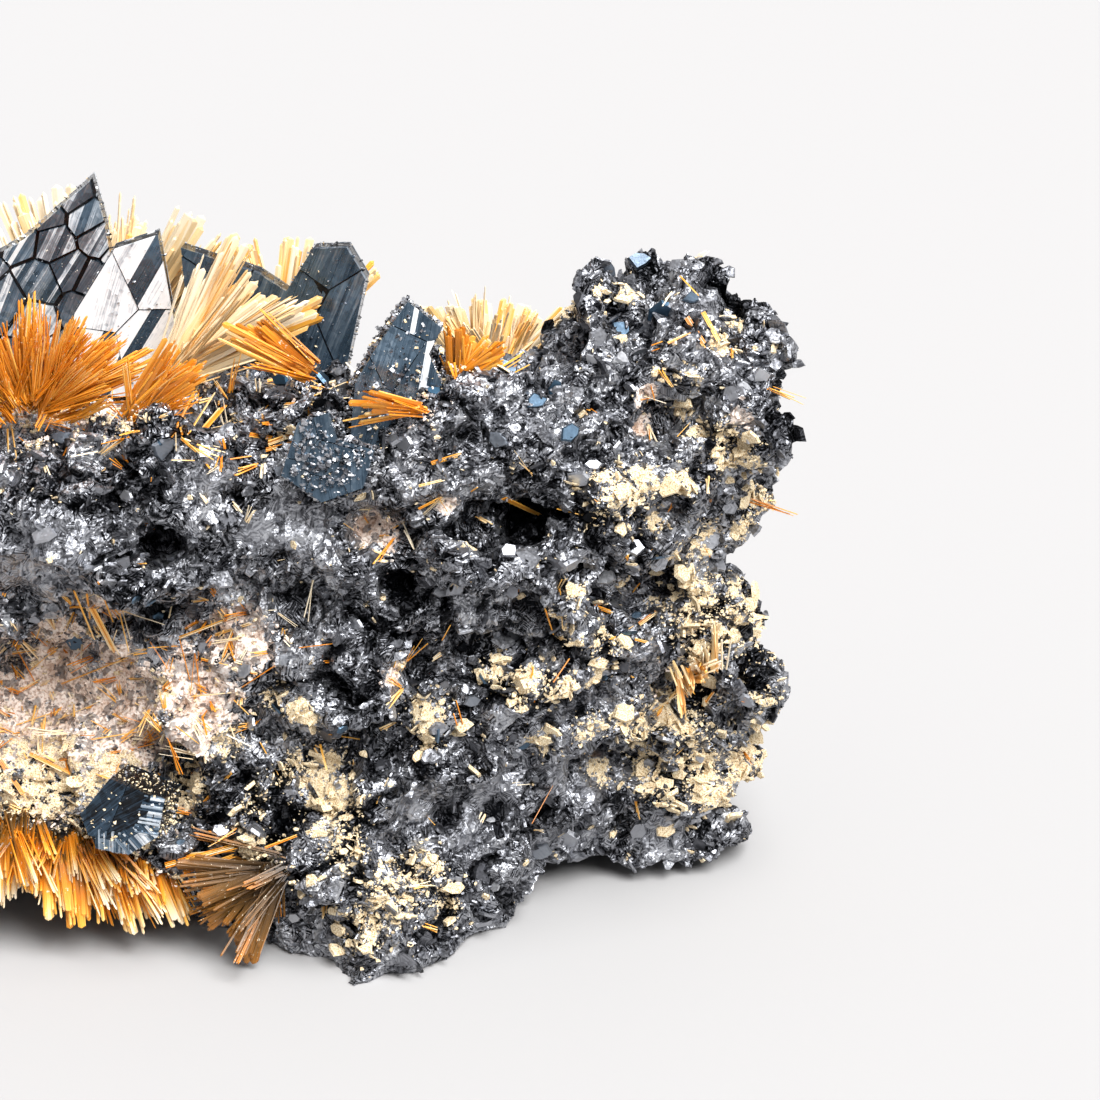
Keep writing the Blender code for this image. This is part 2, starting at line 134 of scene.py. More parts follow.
# Single flat crystals that stand out of the grain: (u, v, radius in millimetres, tone, blueness).
FLAT_CRYSTALS = [
    (452, 582, 1.6, 0.62, 0.0), (440, 592, 1.1, 0.5, 0.0), (525, 562, 1.5, 0.66, 0.0),
    (508, 552, 1.0, 0.55, 0.0), (570, 562, 1.3, 0.6, 0.0), (632, 548, 1.1, 0.56, 0.0),
    (712, 540, 1.5, 0.66, 0.0), (716, 566, 1.0, 0.6, 0.0), (580, 478, 1.2, 0.75, 0.0),
    (592, 468, 0.8, 0.7, 0.0), (604, 576, 1.1, 1.0, 0.0), (510, 590, 0.9, 0.3, 0.0),
    (392, 372, 1.6, 0.45, 1.0), (372, 352, 1.2, 0.4, 1.0), (362, 412, 1.3, 0.5, 1.0),
    (350, 460, 1.2, 0.55, 1.0), (336, 440, 1.0, 0.6, 0.8), (282, 382, 1.1, 0.45, 1.0),
    (262, 352, 1.2, 0.4, 1.0), (535, 402, 1.3, 0.4, 0.8), (570, 432, 1.2, 0.42, 0.8),
    (556, 388, 1.0, 0.45, 0.9), (668, 312, 1.6, 0.45, 0.9), (690, 300, 1.1, 0.5, 0.7),
    (402, 398, 1.1, 0.5, 1.0), (430, 392, 0.9, 0.45, 1.0), (330, 452, 0.8, 1.0, 0.2),
    (345, 470, 0.7, 1.0, 0.2), (160, 448, 1.5, 0.5, 0.3), (120, 462, 1.1, 0.6, 0.1),
    (60, 440, 1.3, 0.45, 0.4), (205, 452, 0.9, 0.9, 0.0), (128, 495, 0.9, 1.0, 0.0),
    (280, 470, 1.1, 0.5, 0.2), (468, 470, 0.9, 0.8, 0.0), (500, 440, 1.0, 0.5, 0.3),
    (620, 360, 1.0, 1.0, 0.0), (605, 270, 1.0, 0.2, 0.3), (640, 262, 1.3, 0.25, 0.5),
    (580, 300, 1.0, 0.15, 0.0), (760, 375, 1.1, 1.0, 0.0), (744, 388, 0.8, 0.95, 0.0),
    (762, 600, 0.9, 0.8, 0.0), (745, 700, 1.0, 0.6, 0.1), (490, 820, 0.6, 1.1, 0.0),
    (495, 886, 0.7, 1.1, 0.0), (282, 905, 0.5, 1.1, 0.0), (296, 915, 0.7, 1.05, 0.0),
    (540, 850, 1.2, 0.6, 0.2), (640, 830, 1.2, 0.6, 0.0), (590, 600, 0.9, 0.5, 0.2),
    (470, 700, 1.0, 0.5, 0.2),
]

# Ends of the loose needles that stand out, as (u, v, u, v, width in millimetres).
LOOSE_NEEDLES = [
    (98, 580, 114, 623, 0.16), (78, 591, 96, 637, 0.2), (88, 590, 94, 637, 0.18),
    (94, 606, 120, 653, 0.7), (177, 638, 241, 619, 0.2), (222, 657, 239, 619, 0.22),
    (214, 635, 253, 623, 0.3), (204, 657, 257, 670, 0.26), (241, 684, 288, 660, 0.16),
    (177, 639, 189, 682, 0.14), (208, 668, 243, 757, 0.16), (258, 742, 282, 778, 0.14),
    (63, 684, 155, 646, 0.18), (12, 652, 41, 649, 0.22), (14, 694, 41, 679, 0.24),
    (16, 642, 33, 679, 0.18), (18, 726, 61, 712, 0.16), (175, 725, 198, 743, 0.14),
    (0, 762, 27, 798, 0.4), (30, 756, 70, 772, 0.34), (-30, 690, 12, 720, 0.2),
    (-60, 650, -20, 668, 0.2), (90, 742, 150, 730, 0.16), (60, 760, 140, 752, 0.2),
    (505, 495, 541, 513, 0.5), (420, 505, 436, 496, 0.3), (549, 611, 551, 632, 0.36),
    (430, 461, 459, 454, 0.4), (421, 488, 445, 480, 0.3), (597, 604, 612, 614, 0.36),
    (640, 625, 660, 610, 0.34), (612, 640, 632, 628, 0.3), (632, 640, 668, 646, 0.3),
    (655, 712, 676, 690, 0.34), (700, 706, 716, 688, 0.4), (672, 672, 690, 700, 0.34),
    (300, 648, 340, 640, 0.14), (440, 636, 455, 620, 0.14), (345, 520, 352, 532, 0.12),
    (262, 848, 300, 836, 0.2), (165, 866, 238, 842, 0.5), (170, 860, 232, 846, 0.4),
    (180, 872, 236, 852, 0.4), (232, 700, 250, 716, 0.16), (330, 730, 356, 737, 0.16),
    (205, 800, 232, 772, 0.3), (560, 505, 600, 520, 0.16), (690, 318, 704, 344, 0.5),
    (704, 316, 716, 342, 0.4), (668, 346, 690, 336, 0.3), (184, 430, 204, 388, 0.6),
    (176, 424, 194, 396, 0.4), (265, 441, 318, 428, 0.5), (282, 402, 312, 400, 0.4),
    (205, 432, 226, 404, 0.5), (345, 385, 410, 386, 0.3), (350, 391, 405, 405, 0.34),
    (370, 404, 400, 419, 0.24), (120, 610, 170, 628, 0.14), (140, 700, 190, 690, 0.14),
    (176, 436, 190, 392, 0.5), (192, 434, 214, 396, 0.4), (215, 402, 236, 374, 0.4),
    (330, 347, 352, 330, 0.4), (340, 352, 372, 318, 0.5), (352, 354, 380, 336, 0.4),
    (300, 354, 322, 330, 0.5), (448, 354, 476, 336, 0.4), (455, 360, 482, 340, 0.3),
    (2, 396, 30, 384, 0.3), (120, 400, 150, 382, 0.4), (135, 404, 170, 386, 0.5),
    (250, 434, 300, 442, 0.4), (262, 448, 312, 438, 0.4), (60, 402, 96, 390, 0.3),
    (315, 398, 345, 380, 0.3), (30, 668, 60, 640, 0.14), (60, 720, 100, 700, 0.14),
    (150, 640, 170, 668, 0.14), (190, 700, 232, 690, 0.14),
]


def unit(vectors: np.ndarray) -> np.ndarray:
    """Scales each row to length one."""
    return vectors / np.maximum(np.linalg.norm(vectors, axis=-1, keepdims=True), 1e-12)


def sides_of(axes: np.ndarray) -> tuple[np.ndarray, np.ndarray]:
    """Finds two directions across each axis.

    Args:
        axes: One unit vector a row.

    Returns:
        Directions at right angles to each row and to each other.
    """
    helper = np.where(np.abs(axes[:, 2:3]) < 0.9, [[0.0, 0.0, 1.0]], [[1.0, 0.0, 0.0]])
    first = unit(np.cross(helper, axes))
    return first, np.cross(axes, first)


def noise_at(places: np.ndarray, size: float, seed: float = 0.0) -> np.ndarray:
    """Smooth noise at each place.

    Args:
        places: One place a row, in metres.
        size: Length of the noise's waves, in metres.
        seed: Moves the noise, so that two uses differ.

    Returns:
        One value a place, mostly from -0.6 to 0.6.
    """
    shifted = places / size + seed * 17.3
    return np.array([noise.noise(place) for place in shifted.tolist()])


def cluster_vectors(places: np.ndarray, size: float, seed: float) -> np.ndarray:
    """Gives all places in one Voronoi cell the same random vector.

    Args:
        places: One place a row, in metres.
        size: Size of a cell, in metres.
        seed: Moves the cells.

    Returns:
        One vector a place, with parts from -1 to 1.
    """
    shifted = places / size + seed * 11.7
    found = []
    for place in shifted.tolist():
        centre = noise.voronoi(place)[1][0]
        found.append(noise.cell_vector(centre * 9.1 + Vector((seed, 2.0, 5.0))))
    return np.array([tuple(vector) for vector in found]) * 2 - 1


def cut(outline: list[Vector], away: Vector, limit: float) -> list[Vector]:
    """Keeps the part of a flat outline that lies on the near side of a line.

    Args:
        outline: The corners in order.
        away: The line's normal.
        limit: The line's distance along that normal.

    Returns:
        The corners that are left.
    """
    kept = []
    for here, there in zip(outline, outline[1:] + outline[:1]):
        a = away.dot(here) - limit
        b = away.dot(there) - limit
        if a <= 0:
            kept.append(here)
        if a * b < 0:
            kept.append(here.lerp(there, a / (a - b)))
    return kept


def read(items: bpy.types.bpy_prop_collection, name: str, kind: type = np.float32,
         width: int = 3) -> np.ndarray:
    """Reads one property of a mesh's items.

    Args:
        items: The mesh's vertices or triangles, or a mark's data.
        name: The property.
        kind: Its type of number.
        width: How many numbers it has.

    Returns:
        One row an item.
    """
    values = np.zeros(len(items) * width, kind)
    items.foreach_get(name, values)
    return values.reshape(-1, width)


def put_in_scene(obj: bpy.types.Object) -> None:
    """Links an object to the scene."""
    bpy.context.scene.collection.objects.link(obj)


@dataclass(frozen=True)
class PhotoView:
    """The camera, and the ray that it sends through a pixel of the photograph. Millimetres."""

    target: tuple = (25.9, -10.0, 33.7)
    elevation: float = 25.0
    distance: float = 380.0
    view_width: float = 88.0
    sensor: float = 36.0

    def axes(self) -> tuple[Vector, Vector, Vector]:
        """Finds the camera's directions.

        Returns:
            Right, up and forward.
        """
        tilt = math.radians(self.elevation)
        forward = Vector((0, math.cos(tilt), -math.sin(tilt)))
        return Vector((1, 0, 0)), Vector((0, math.sin(tilt), math.cos(tilt))), forward

    def place(self) -> Vector:
        """Where the camera stands, in metres."""
        return (Vector(self.target) - self.axes()[2] * self.distance) * MM

    def lens(self) -> float:
        """Focal length in the camera's millimetres."""
        return self.sensor * self.distance / self.view_width

    def ray(self, u: float, v: float) -> Vector:
        """Finds the direction from the camera through a pixel.

        Args:
            u: Pixels from the photograph's left edge.
            v: Pixels from its top edge.

        Returns:
            The direction, of length one.
        """
        right, up, forward = self.axes()
        half = PHOTO_SIDE / 2
        across = (u - half) / PHOTO_SIDE * self.sensor
        above = (half - v) / PHOTO_SIDE * self.sensor
        return (forward * self.lens() + right * across + up * above).normalized()

    def set_camera(self) -> None:
        """Makes the scene's camera."""
        data = bpy.data.cameras.new("photo_camera")
        data.sensor_width = self.sensor
        data.lens = self.lens()
        data.clip_start = 10 * MM
        camera = bpy.data.objects.new("photo_camera", data)
        camera.location = self.place()
        camera.rotation_euler = (math.radians(90 - self.elevation), 0, 0)
        put_in_scene(camera)
        bpy.context.scene.camera = camera


class Surface:
    """A mesh's triangles, which small pieces are laid on."""

    def __init__(self, mesh: bpy.types.Mesh) -> None:
        """Reads the mesh.

        Args:
            mesh: The mesh, which may carry the mark of painted shade in cracks and hollows.
        """
        mesh.calc_loop_triangles()
        places = read(mesh.vertices, "co")
        corners = read(mesh.loop_triangles, "vertices", np.int32)
        self.corners = places.astype(float)[corners]
        cross = np.cross(self.corners[:, 1] - self.corners[:, 0], self.corners[:, 2] - self.corners[:, 0])
        self.areas = np.linalg.norm(cross, axis=1) / 2
        self.normals = unit(cross)
        self.middles = self.corners.mean(axis=1)
        self.tree = BVHTree.FromPolygons(places.tolist(), corners.tolist())
        self.pits = np.zeros(len(corners), np.float32)
        if "pit" in mesh.attributes:
            pits = read(mesh.attributes["pit"].data, "value", width=1)[:, 0]
            self.pits = pits[corners].mean(axis=1)

    def scatter(self, dice: np.random.Generator, count: int, weight: np.ndarray) -> tuple:
        """Draws places at random.

        Args:
            dice: The source of chance.
            count: How many places.
            weight: Relative density at each triangle.

        Returns:
            The places and the surface's normals there.
        """
        chance = self.areas * weight
        chosen = dice.choice(len(chance), count, p=chance / chance.sum())
        first, second = dice.random((2, count, 1))
        folded = first + second > 1
        first = np.where(folded, 1 - first, first)
        second = np.where(folded, 1 - second, second)
        a, b, c = self.corners[chosen].transpose(1, 0, 2)
        return a + first * (b - a) + second * (c - a), self.normals[chosen]

    def under(self, view: PhotoView, u: float, v: float) -> tuple | None:
        """The place and normal that the photograph shows at a pixel, or None off the surface."""
        place, normal, _, _ = self.tree.ray_cast(view.place(), view.ray(u, v))
        return None if place is None else (place, normal)

    def nearest(self, places: np.ndarray) -> tuple[np.ndarray, np.ndarray, np.ndarray]:
        """Finds the nearest place on the surface to each place.

        Args:
            places: One place a row.

        Returns:
            The places found, the normals there and the painted shade of the cracks and hollows there.
        """
        found = [self.tree.find_nearest(place)[:3] for place in places.tolist()]
        spots = np.array([tuple(hit[0]) for hit in found])
        normals = np.array([tuple(hit[1]) for hit in found])
        return spots, normals, self.pits[[hit[2] for hit in found]]


class GroundMap:
    """Where each ground lies on the rock."""

    def __init__(self, surface: Surface, view: PhotoView) -> None:
        """Lays the photograph's patches on the rock.

        Args:
            surface: The rock before it is roughened.
            view: The photograph's camera.
        """
        self.balls: dict[Ground, list[tuple]] = {}
        scale = view.view_width / PHOTO_SIDE * MM
        for ground in Ground:
            found = [(Vector(ball[:3]) * MM, ball[3] * MM) for ball in HIDDEN_PATCHES[ground]]
            for u, v, radius in PATCHES[ground]:
                hit = surface.under(view, u, v)
                if hit:
                    found.append((hit[0], radius * scale))
            self.balls[ground] = found

    def share(self, ground: Ground, places: np.ndarray) -> np.ndarray:
        """How surely each place lies on a ground.

        Args:
            ground: The ground asked for.
            places: One place a row.

        Returns:
            A value a place: 1 well inside a patch, 0.5 at its edge, 0 outside.
        """
        best = np.zeros(len(places))
        for middle, radius in self.balls[ground]:
            away = np.linalg.norm(places - np.array(middle), axis=1) / radius
            best = np.maximum(best, np.clip(1.5 - away, 0, 1))
        return best


class Pile:
    """Small closed solids gathered into one mesh, with marks that its material reads."""

    def __init__(self, name: str) -> None:
        """Starts an empty pile.

        Args:
            name: The piece's name.
        """
        self.name = name
        self.places: list[np.ndarray] = []
        self.triangles: list[np.ndarray] = []
        self.marks: dict[str, list[np.ndarray]] = {}
        self.count = 0

    def add(self, places: np.ndarray, triangles: np.ndarray, **marks: np.ndarray | float) -> None:
        """Adds copies of one form.

        Args:
            places: The corners of each copy, as copies by corners by 3.
            triangles: The form's triangles, as corner numbers.
            marks: Named values: one for all, one a copy, or one a corner of each copy.
        """
        copies, corners = places.shape[:2]
        starts = self.count + corners * np.arange(copies)
        self.places.append(places.reshape(-1, 3))
        self.triangles.append((triangles[None] + starts[:, None, None]).reshape(-1, 3))
        for name, value in marks.items():
            values = np.asarray(value, float)
            column = values[:, None] if values.ndim == 1 else values
            self.marks.setdefault(name, []).append(np.broadcast_to(column, (copies, corners)).reshape(-1))
        self.count += copies * corners

    def finish(self, material: bpy.types.Material, slot: Slot, *nodes: str) -> bpy.types.Object:
        """Makes the mesh and shows it.

        Args:
            material: Its finish.
            slot: The record's slot of that finish.
            nodes: CAD nodes that it stands for.

        Returns:
            The new object.
        """
        mesh = bpy.data.meshes.new(self.name)
        mesh.from_pydata(np.concatenate(self.places), [], np.concatenate(self.triangles))
        add_marks(mesh, {name: np.concatenate(values) for name, values in self.marks.items()})
        mesh.materials.append(material)
        return show(bpy.data.objects.new(self.name, mesh), slot, *nodes)


def add_marks(mesh: bpy.types.Mesh, marks: dict[str, np.ndarray]) -> None:
    """Stores the marks' values for each of the mesh's vertices."""
    for name, values in marks.items():
        layer = mesh.attributes.new(name, "FLOAT", "POINT")
        layer.data.foreach_set("value", values.astype(np.float32))


def show(obj: bpy.types.Object, slot: Slot, *nodes: str) -> bpy.types.Object:
    """Shows a finished piece, which rides on the specimen.

    Args:
        obj: The piece.
        slot: Not used.
        nodes: CAD nodes that it stands for.

    Returns:
        The piece.
    """
    put_in_scene(obj)
    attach(obj, BODY)
    if nodes:
        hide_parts(*nodes)
    obj.data.calc_loop_triangles()
    LOG.info("%s: %d triangles", obj.name, len(obj.data.loop_triangles))
    return obj


class Wiring:
    """Short ways to add and join shader nodes."""

    def __init__(self, tree: bpy.types.NodeTree) -> None:
        """Works on one node tree."""
        self.tree = tree

    def feed(self, node: bpy.types.Node, inputs: dict) -> bpy.types.Node:
        """Gives a node's inputs their values, or joins them to sockets.

        Args:
            node: The node.
            inputs: Values or sockets, by the input's name or number.

        Returns:
            The node.
        """
        for name, value in inputs.items():
            if isinstance(value, bpy.types.NodeSocket):
                self.tree.links.new(value, node.inputs[name])
            else:
                node.inputs[name].default_value = value
        return node

    def add(self, kind: str, inputs: dict | None = None, **settings: object) -> bpy.types.Node:
        """Adds a node.

        Args:
            kind: Its Blender type.
            inputs: Values or sockets for its inputs, by name or number.
            settings: Its own properties.

        Returns:
            The node.
        """
        node = self.tree.nodes.new(kind)
        for name, value in settings.items():
            setattr(node, name, value)
        return self.feed(node, inputs or {})

    def math(self, operation: str, *values: object, clamp: bool = False) -> bpy.types.NodeSocket:
        """The result of a Math node."""
        inputs = dict(enumerate(values))
        return self.add("ShaderNodeMath", inputs, operation=operation, use_clamp=clamp).outputs[0]

    def vector(self, operation: str, *values: object) -> bpy.types.NodeSocket:
        """The result of a Vector Math node."""
        return self.add("ShaderNodeVectorMath", dict(enumerate(values)), operation=operation).outputs[0]

    def scaled(self, vector: object, factor: object) -> bpy.types.NodeSocket:
        """A vector times a number."""
        inputs = {"Vector": vector, "Scale": factor}
        return self.add("ShaderNodeVectorMath", inputs, operation="SCALE").outputs[0]

    def colour_mix(self, factor: object, first: object, second: object) -> bpy.types.NodeSocket:
        """A colour between two others."""
        inputs = {0: factor, 6: first, 7: second}
        return self.add("ShaderNodeMix", inputs, data_type="RGBA").outputs[2]

    def value_mix(self, factor: object, first: object, second: object) -> bpy.types.NodeSocket:
        """A value between two others."""
        inputs = {0: factor, 2: first, 3: second}
        return self.add("ShaderNodeMix", inputs, data_type="FLOAT").outputs[0]

    def ramp(self, value: object, stops: tuple) -> bpy.types.NodeSocket:
        """Reads a colour from a ramp.

        Args:
            value: Where on the ramp, from 0 to 1.
            stops: Each stop's position and colour.

        Returns:
            The colour.
        """
        node = self.add("ShaderNodeValToRGB", {0: value})
        elements = node.color_ramp.elements
        first, *middle, last = stops
        elements[0].position, elements[0].color = first
        elements[1].position, elements[1].color = last
        for position, colour in middle:
            elements.new(position).color = colour
        return node.outputs["Color"]

    def mark(self, name: str) -> bpy.types.NodeSocket:
        """One of the mesh's marks."""
        return self.add("ShaderNodeAttribute", attribute_name=name).outputs["Fac"]

    def place(self) -> bpy.types.NodeSocket:
        """The place on the object, in metres."""
        return self.add("ShaderNodeTexCoord").outputs["Object"]

    def step(self, value: object, low: float, high: float) -> bpy.types.NodeSocket:
        """A soft step from 0 at low to 1 at high."""
        inputs = {"Value": value, "From Min": low, "From Max": high}
        return self.add("ShaderNodeMapRange", inputs, interpolation_type="SMOOTHSTEP").outputs[0]

    def clouds(self, place: object, scale: object, detail: float = 2.0,
               roughness: float = 0.5) -> bpy.types.NodeSocket:
        """Smooth noise from 0 to 1."""
        inputs = {"Vector": place, "Scale": scale, "Detail": detail, "Roughness": roughness}
        return self.add("ShaderNodeTexNoise", inputs).outputs["Fac"]

    def rest_of(self, value: object) -> bpy.types.NodeSocket:
        """One less a value."""
        return self.math("SUBTRACT", 1.0, value)

    def total(self, start: object, *terms: tuple) -> bpy.types.NodeSocket:
        """Adds values to a value.

        Args:
            start: The value that they are added to.
            terms: Each value and its factor.

        Returns:
            The sum.
        """
        for value, factor in terms:
            start = self.math("ADD", start, self.math("MULTIPLY", value, factor))
        return start


class EffectGroup(Wiring):
    """A shader node group with named inputs and outputs, built once."""

    def __init__(self, name: str, inputs: dict[str, tuple], outputs: dict[str, str]) -> None:
        """Makes the group.

        Args:
            name: Its name.
            inputs: Socket type and default value of each input, by name.
            outputs: Socket type of each output, by name.
        """
        super().__init__(bpy.data.node_groups.new(name, "ShaderNodeTree"))
        for socket, (kind, value) in inputs.items():
            made = self.tree.interface.new_socket(name=socket, in_out="INPUT", socket_type=kind)
            if value is not None:
                made.default_value = value
        for socket, kind in outputs.items():
            self.tree.interface.new_socket(name=socket, in_out="OUTPUT", socket_type=kind)
        self.entry = self.tree.nodes.new("NodeGroupInput").outputs
        self.exit = self.tree.nodes.new("NodeGroupOutput").inputs

    def give(self, name: str, socket: bpy.types.NodeSocket) -> None:
        """Joins a result to an output."""
        self.tree.links.new(socket, self.exit[name])

    def use(self, wiring: Wiring, inputs: dict) -> dict[str, bpy.types.NodeSocket]:
        """Places the group in a material.

        Args:
            wiring: The material's.
            inputs: Values or sockets for the group's inputs, by name.

        Returns:
            The group's outputs, by name.
        """
        node = wiring.tree.nodes.new("ShaderNodeGroup")
        node.node_tree = self.tree
        return wiring.feed(node, inputs).outputs


FLOAT = "NodeSocketFloat"
VECTOR = "NodeSocketVector"


def facet_group() -> EffectGroup:
    """Makes flat crystal facets, one for each Voronoi cell.

    Returns:
        A group that gives each cell a normal, a chance value and the edges of a stack of flakes.
    """
    group = EffectGroup(
        "crystal_facets",
        {"Place": (VECTOR, None), "Size": (FLOAT, 0.4), "Strength": (FLOAT, 0.8), "Pitch": (FLOAT, 0.1)},
        {"Normal": VECTOR, "Chance": FLOAT, "Edges": FLOAT},
    )
    scale = group.math("DIVIDE", 1 / MM, group.entry["Size"])
    cells = group.add("ShaderNodeTexVoronoi", {"Vector": group.entry["Place"], "Scale": scale})
    centred = group.vector("SUBTRACT", cells.outputs["Color"], (0.5, 0.5, 0.5))
    push = group.scaled(centred, group.entry["Strength"])
    own = group.add("ShaderNodeNewGeometry").outputs["Normal"]
    group.give("Normal", group.vector("NORMALIZE", group.vector("ADD", own, push)))
    parts = group.add("ShaderNodeSeparateColor", {0: cells.outputs["Color"]})
    group.give("Chance", parts.outputs[0])
    along = {0: group.entry["Place"], 1: centred}
    depth = group.add("ShaderNodeVectorMath", along, operation="DOT_PRODUCT").outputs["Value"]
    steps = group.math("DIVIDE", group.math("MULTIPLY", depth, 1 / MM), group.entry["Pitch"])
    stack = group.add("ShaderNodeTexNoise", {"W": steps, "Scale": 1.0}, noise_dimensions="1D")
    group.give("Edges", group.step(stack.outputs["Fac"], 0.40, 0.60))
    return group


def ragged_group() -> EffectGroup:
    """Makes the ragged edge and grain of a crust.

    Returns:
        A group that breaks the crust's share up into a mask, and gives its finer grain.
    """
    group = EffectGroup(
        "ragged_crust",
        {"Place": (VECTOR, None), "Share": (FLOAT, 0.0), "Size": (FLOAT, 1.2)},
        {"Mask": FLOAT, "Grain": FLOAT},
    )
    scale = group.math("DIVIDE", 1 / MM, group.entry["Size"])
    broken = group.clouds(group.entry["Place"], scale, 4.0, 0.68)
    level = group.math("SUBTRACT", group.math("ADD", group.entry["Share"], broken), 1.0)
    group.give("Mask", group.step(level, -0.02, 0.02))
    grain = group.clouds(group.entry["Place"], group.math("MULTIPLY", scale, 6.0))
    group.give("Grain", group.step(grain, 0.32, 0.68))
    return group


def growth_group() -> EffectGroup:
    """Makes straight growth lines along a crystal, which keep their run for a long way.

    Returns:
        A group that gives their height.
    """
    group = EffectGroup(
        "growth_lines",
        {"Across": (FLOAT, 0.0), "Along": (FLOAT, 0.0), "Pitch": (FLOAT, 0.3)},
        {"Height": FLOAT},
    )
    across = group.math("DIVIDE", group.entry["Across"], group.entry["Pitch"])
    along = group.math("MULTIPLY", group.entry["Along"], 0.12)
    place = group.add("ShaderNodeCombineXYZ", {0: across, 1: along}).outputs[0]
    group.give("Height", group.clouds(place, 2.2))
    return group


def new_finish(name: str) -> tuple[bpy.types.Material, Wiring, bpy.types.Node]:
    """Starts a finish.

    Args:
        name: Its name.

    Returns:
        The material, its wiring and its shader.
    """
    material = bpy.data.materials.new(name)
    material.use_nodes = True
    return material, Wiring(material.node_tree), material.node_tree.nodes["Principled BSDF"]


@dataclass(frozen=True)
class Effects:
    """The three shared effects."""

    facets: EffectGroup = field(default_factory=facet_group)
    ragged: EffectGroup = field(default_factory=ragged_group)
    growth: EffectGroup = field(default_factory=growth_group)


@dataclass(frozen=True)
class HematiteFinish:
    """Granular hematite with its cream and pinkish crusts."""

    name: str = "granular_hematite"
    metal: tuple = (
        (0.22, (0.004, 0.0045, 0.006, 1)),
        (0.36, (0.132, 0.135, 0.150, 1)),
        (0.62, (0.39, 0.40, 0.43, 1)),
        (0.95, (0.60, 0.61, 0.63, 1)),
    )
    blue: tuple = (0.045, 0.105, 0.17, 1)
    cream: tuple = (
        (0.0, (0.42, 0.28, 0.14, 1)),
        (0.4, (0.76, 0.60, 0.365, 1)),
        (1.0, (0.86, 0.765, 0.57, 1)),
    )
    gangue: tuple = (
        (0.0, (0.46, 0.34, 0.27, 1)),
        (0.45, (0.84, 0.70, 0.61, 1)),
        (1.0, (0.95, 0.87, 0.80, 1)),
    )
    speck: tuple = (0.05, 0.05, 0.055, 1)
    stain: tuple = (0.34, 0.15, 0.045, 1)
    cream_size: float = 0.7  # of its ragged edge, in millimetres
    gangue_size: float = 1.5
    coarse: float = 0.6  # size of a grain's facets, in millimetres
    fine: float = 0.15
    stack: float = 0.085  # thickness of the flakes in a grain
    crust_roughness: float = 0.85

    def build(self, effects: Effects) -> bpy.types.Material:
        """Makes the material, which reads the marks tone, cover, gangue, smooth and blue, and a mark that
        paints shade into cracks and hollows.

        Args:
            effects: The shared effects.

        Returns:
            The material.
        """
        material, wires, shader = new_finish(self.name)
        place = wires.place()

        cream, pink = (
            effects.ragged.use(wires, {"Place": place, "Share": wires.mark(mark), "Size": size})
            for mark, size in (("cover", self.cream_size), ("gangue", self.gangue_size))
        )
        crust = wires.math("MAXIMUM", cream["Mask"], pink["Mask"])
        plain = wires.mark("smooth")
        strength = wires.math("MULTIPLY", wires.value_mix(crust, 1.3, 0.5), wires.rest_of(plain))

        grain = {"Place": place, "Size": self.coarse, "Strength": strength, "Pitch": self.stack}
        coarse = effects.facets.use(wires, grain)
        fine = effects.facets.use(wires, {"Place": place, "Size": self.fine, "Strength": strength})
        normal = wires.vector("NORMALIZE", wires.vector("ADD", coarse["Normal"], fine["Normal"]))

        chances = ((coarse["Chance"], 0.2), (fine["Chance"], 0.22), (coarse["Edges"], 0.42))
        chance = wires.value_mix(plain, wires.total(-0.1, *chances), 0.28)
        level = wires.total(chance, (wires.mark("tone"), 0.48))
        # Painted shade: the metal is drawn darker in cracks and hollows.
        light = wires.rest_of(wires.mark("pit"))
        metal = wires.ramp(wires.math("MULTIPLY", level, light), self.metal)
        metal = wires.colour_mix(wires.mark("blue"), metal, self.blue)

        dark = wires.step(wires.clouds(place, 0.7 / MM, roughness=0.7), 0.56, 0.60)
        dark = wires.math("MAXIMUM", dark, wires.step(coarse["Chance"], 0.86, 0.9))
        dark = wires.math("MULTIPLY", dark, 0.65)
        stains = wires.clouds(place, 0.3 / MM)
        brown = wires.math("MULTIPLY", wires.step(stains, 0.57, 0.68), 0.4)
        grey = wires.math("MULTIPLY", wires.rest_of(wires.step(stains, 0.36, 0.39)), 0.6)
        pink_colour = wires.colour_mix(brown, wires.ramp(pink["Grain"], self.gangue), self.stain)
        pink_colour = wires.colour_mix(wires.math("MAXIMUM", dark, grey), pink_colour, self.speck)
        colour = wires.colour_mix(pink["Mask"], metal, pink_colour)
        colour = wires.colour_mix(cream["Mask"], colour, wires.ramp(cream["Grain"], self.cream))

        roughness = wires.value_mix(fine["Chance"], 0.33, 0.62)
        wires.feed(shader, {
            "Base Color": colour,
            "Metallic": wires.math("MULTIPLY", wires.rest_of(crust), 0.94),
            "Roughness": wires.value_mix(crust, roughness, self.crust_roughness),
            "Normal": normal,
        })
        return material


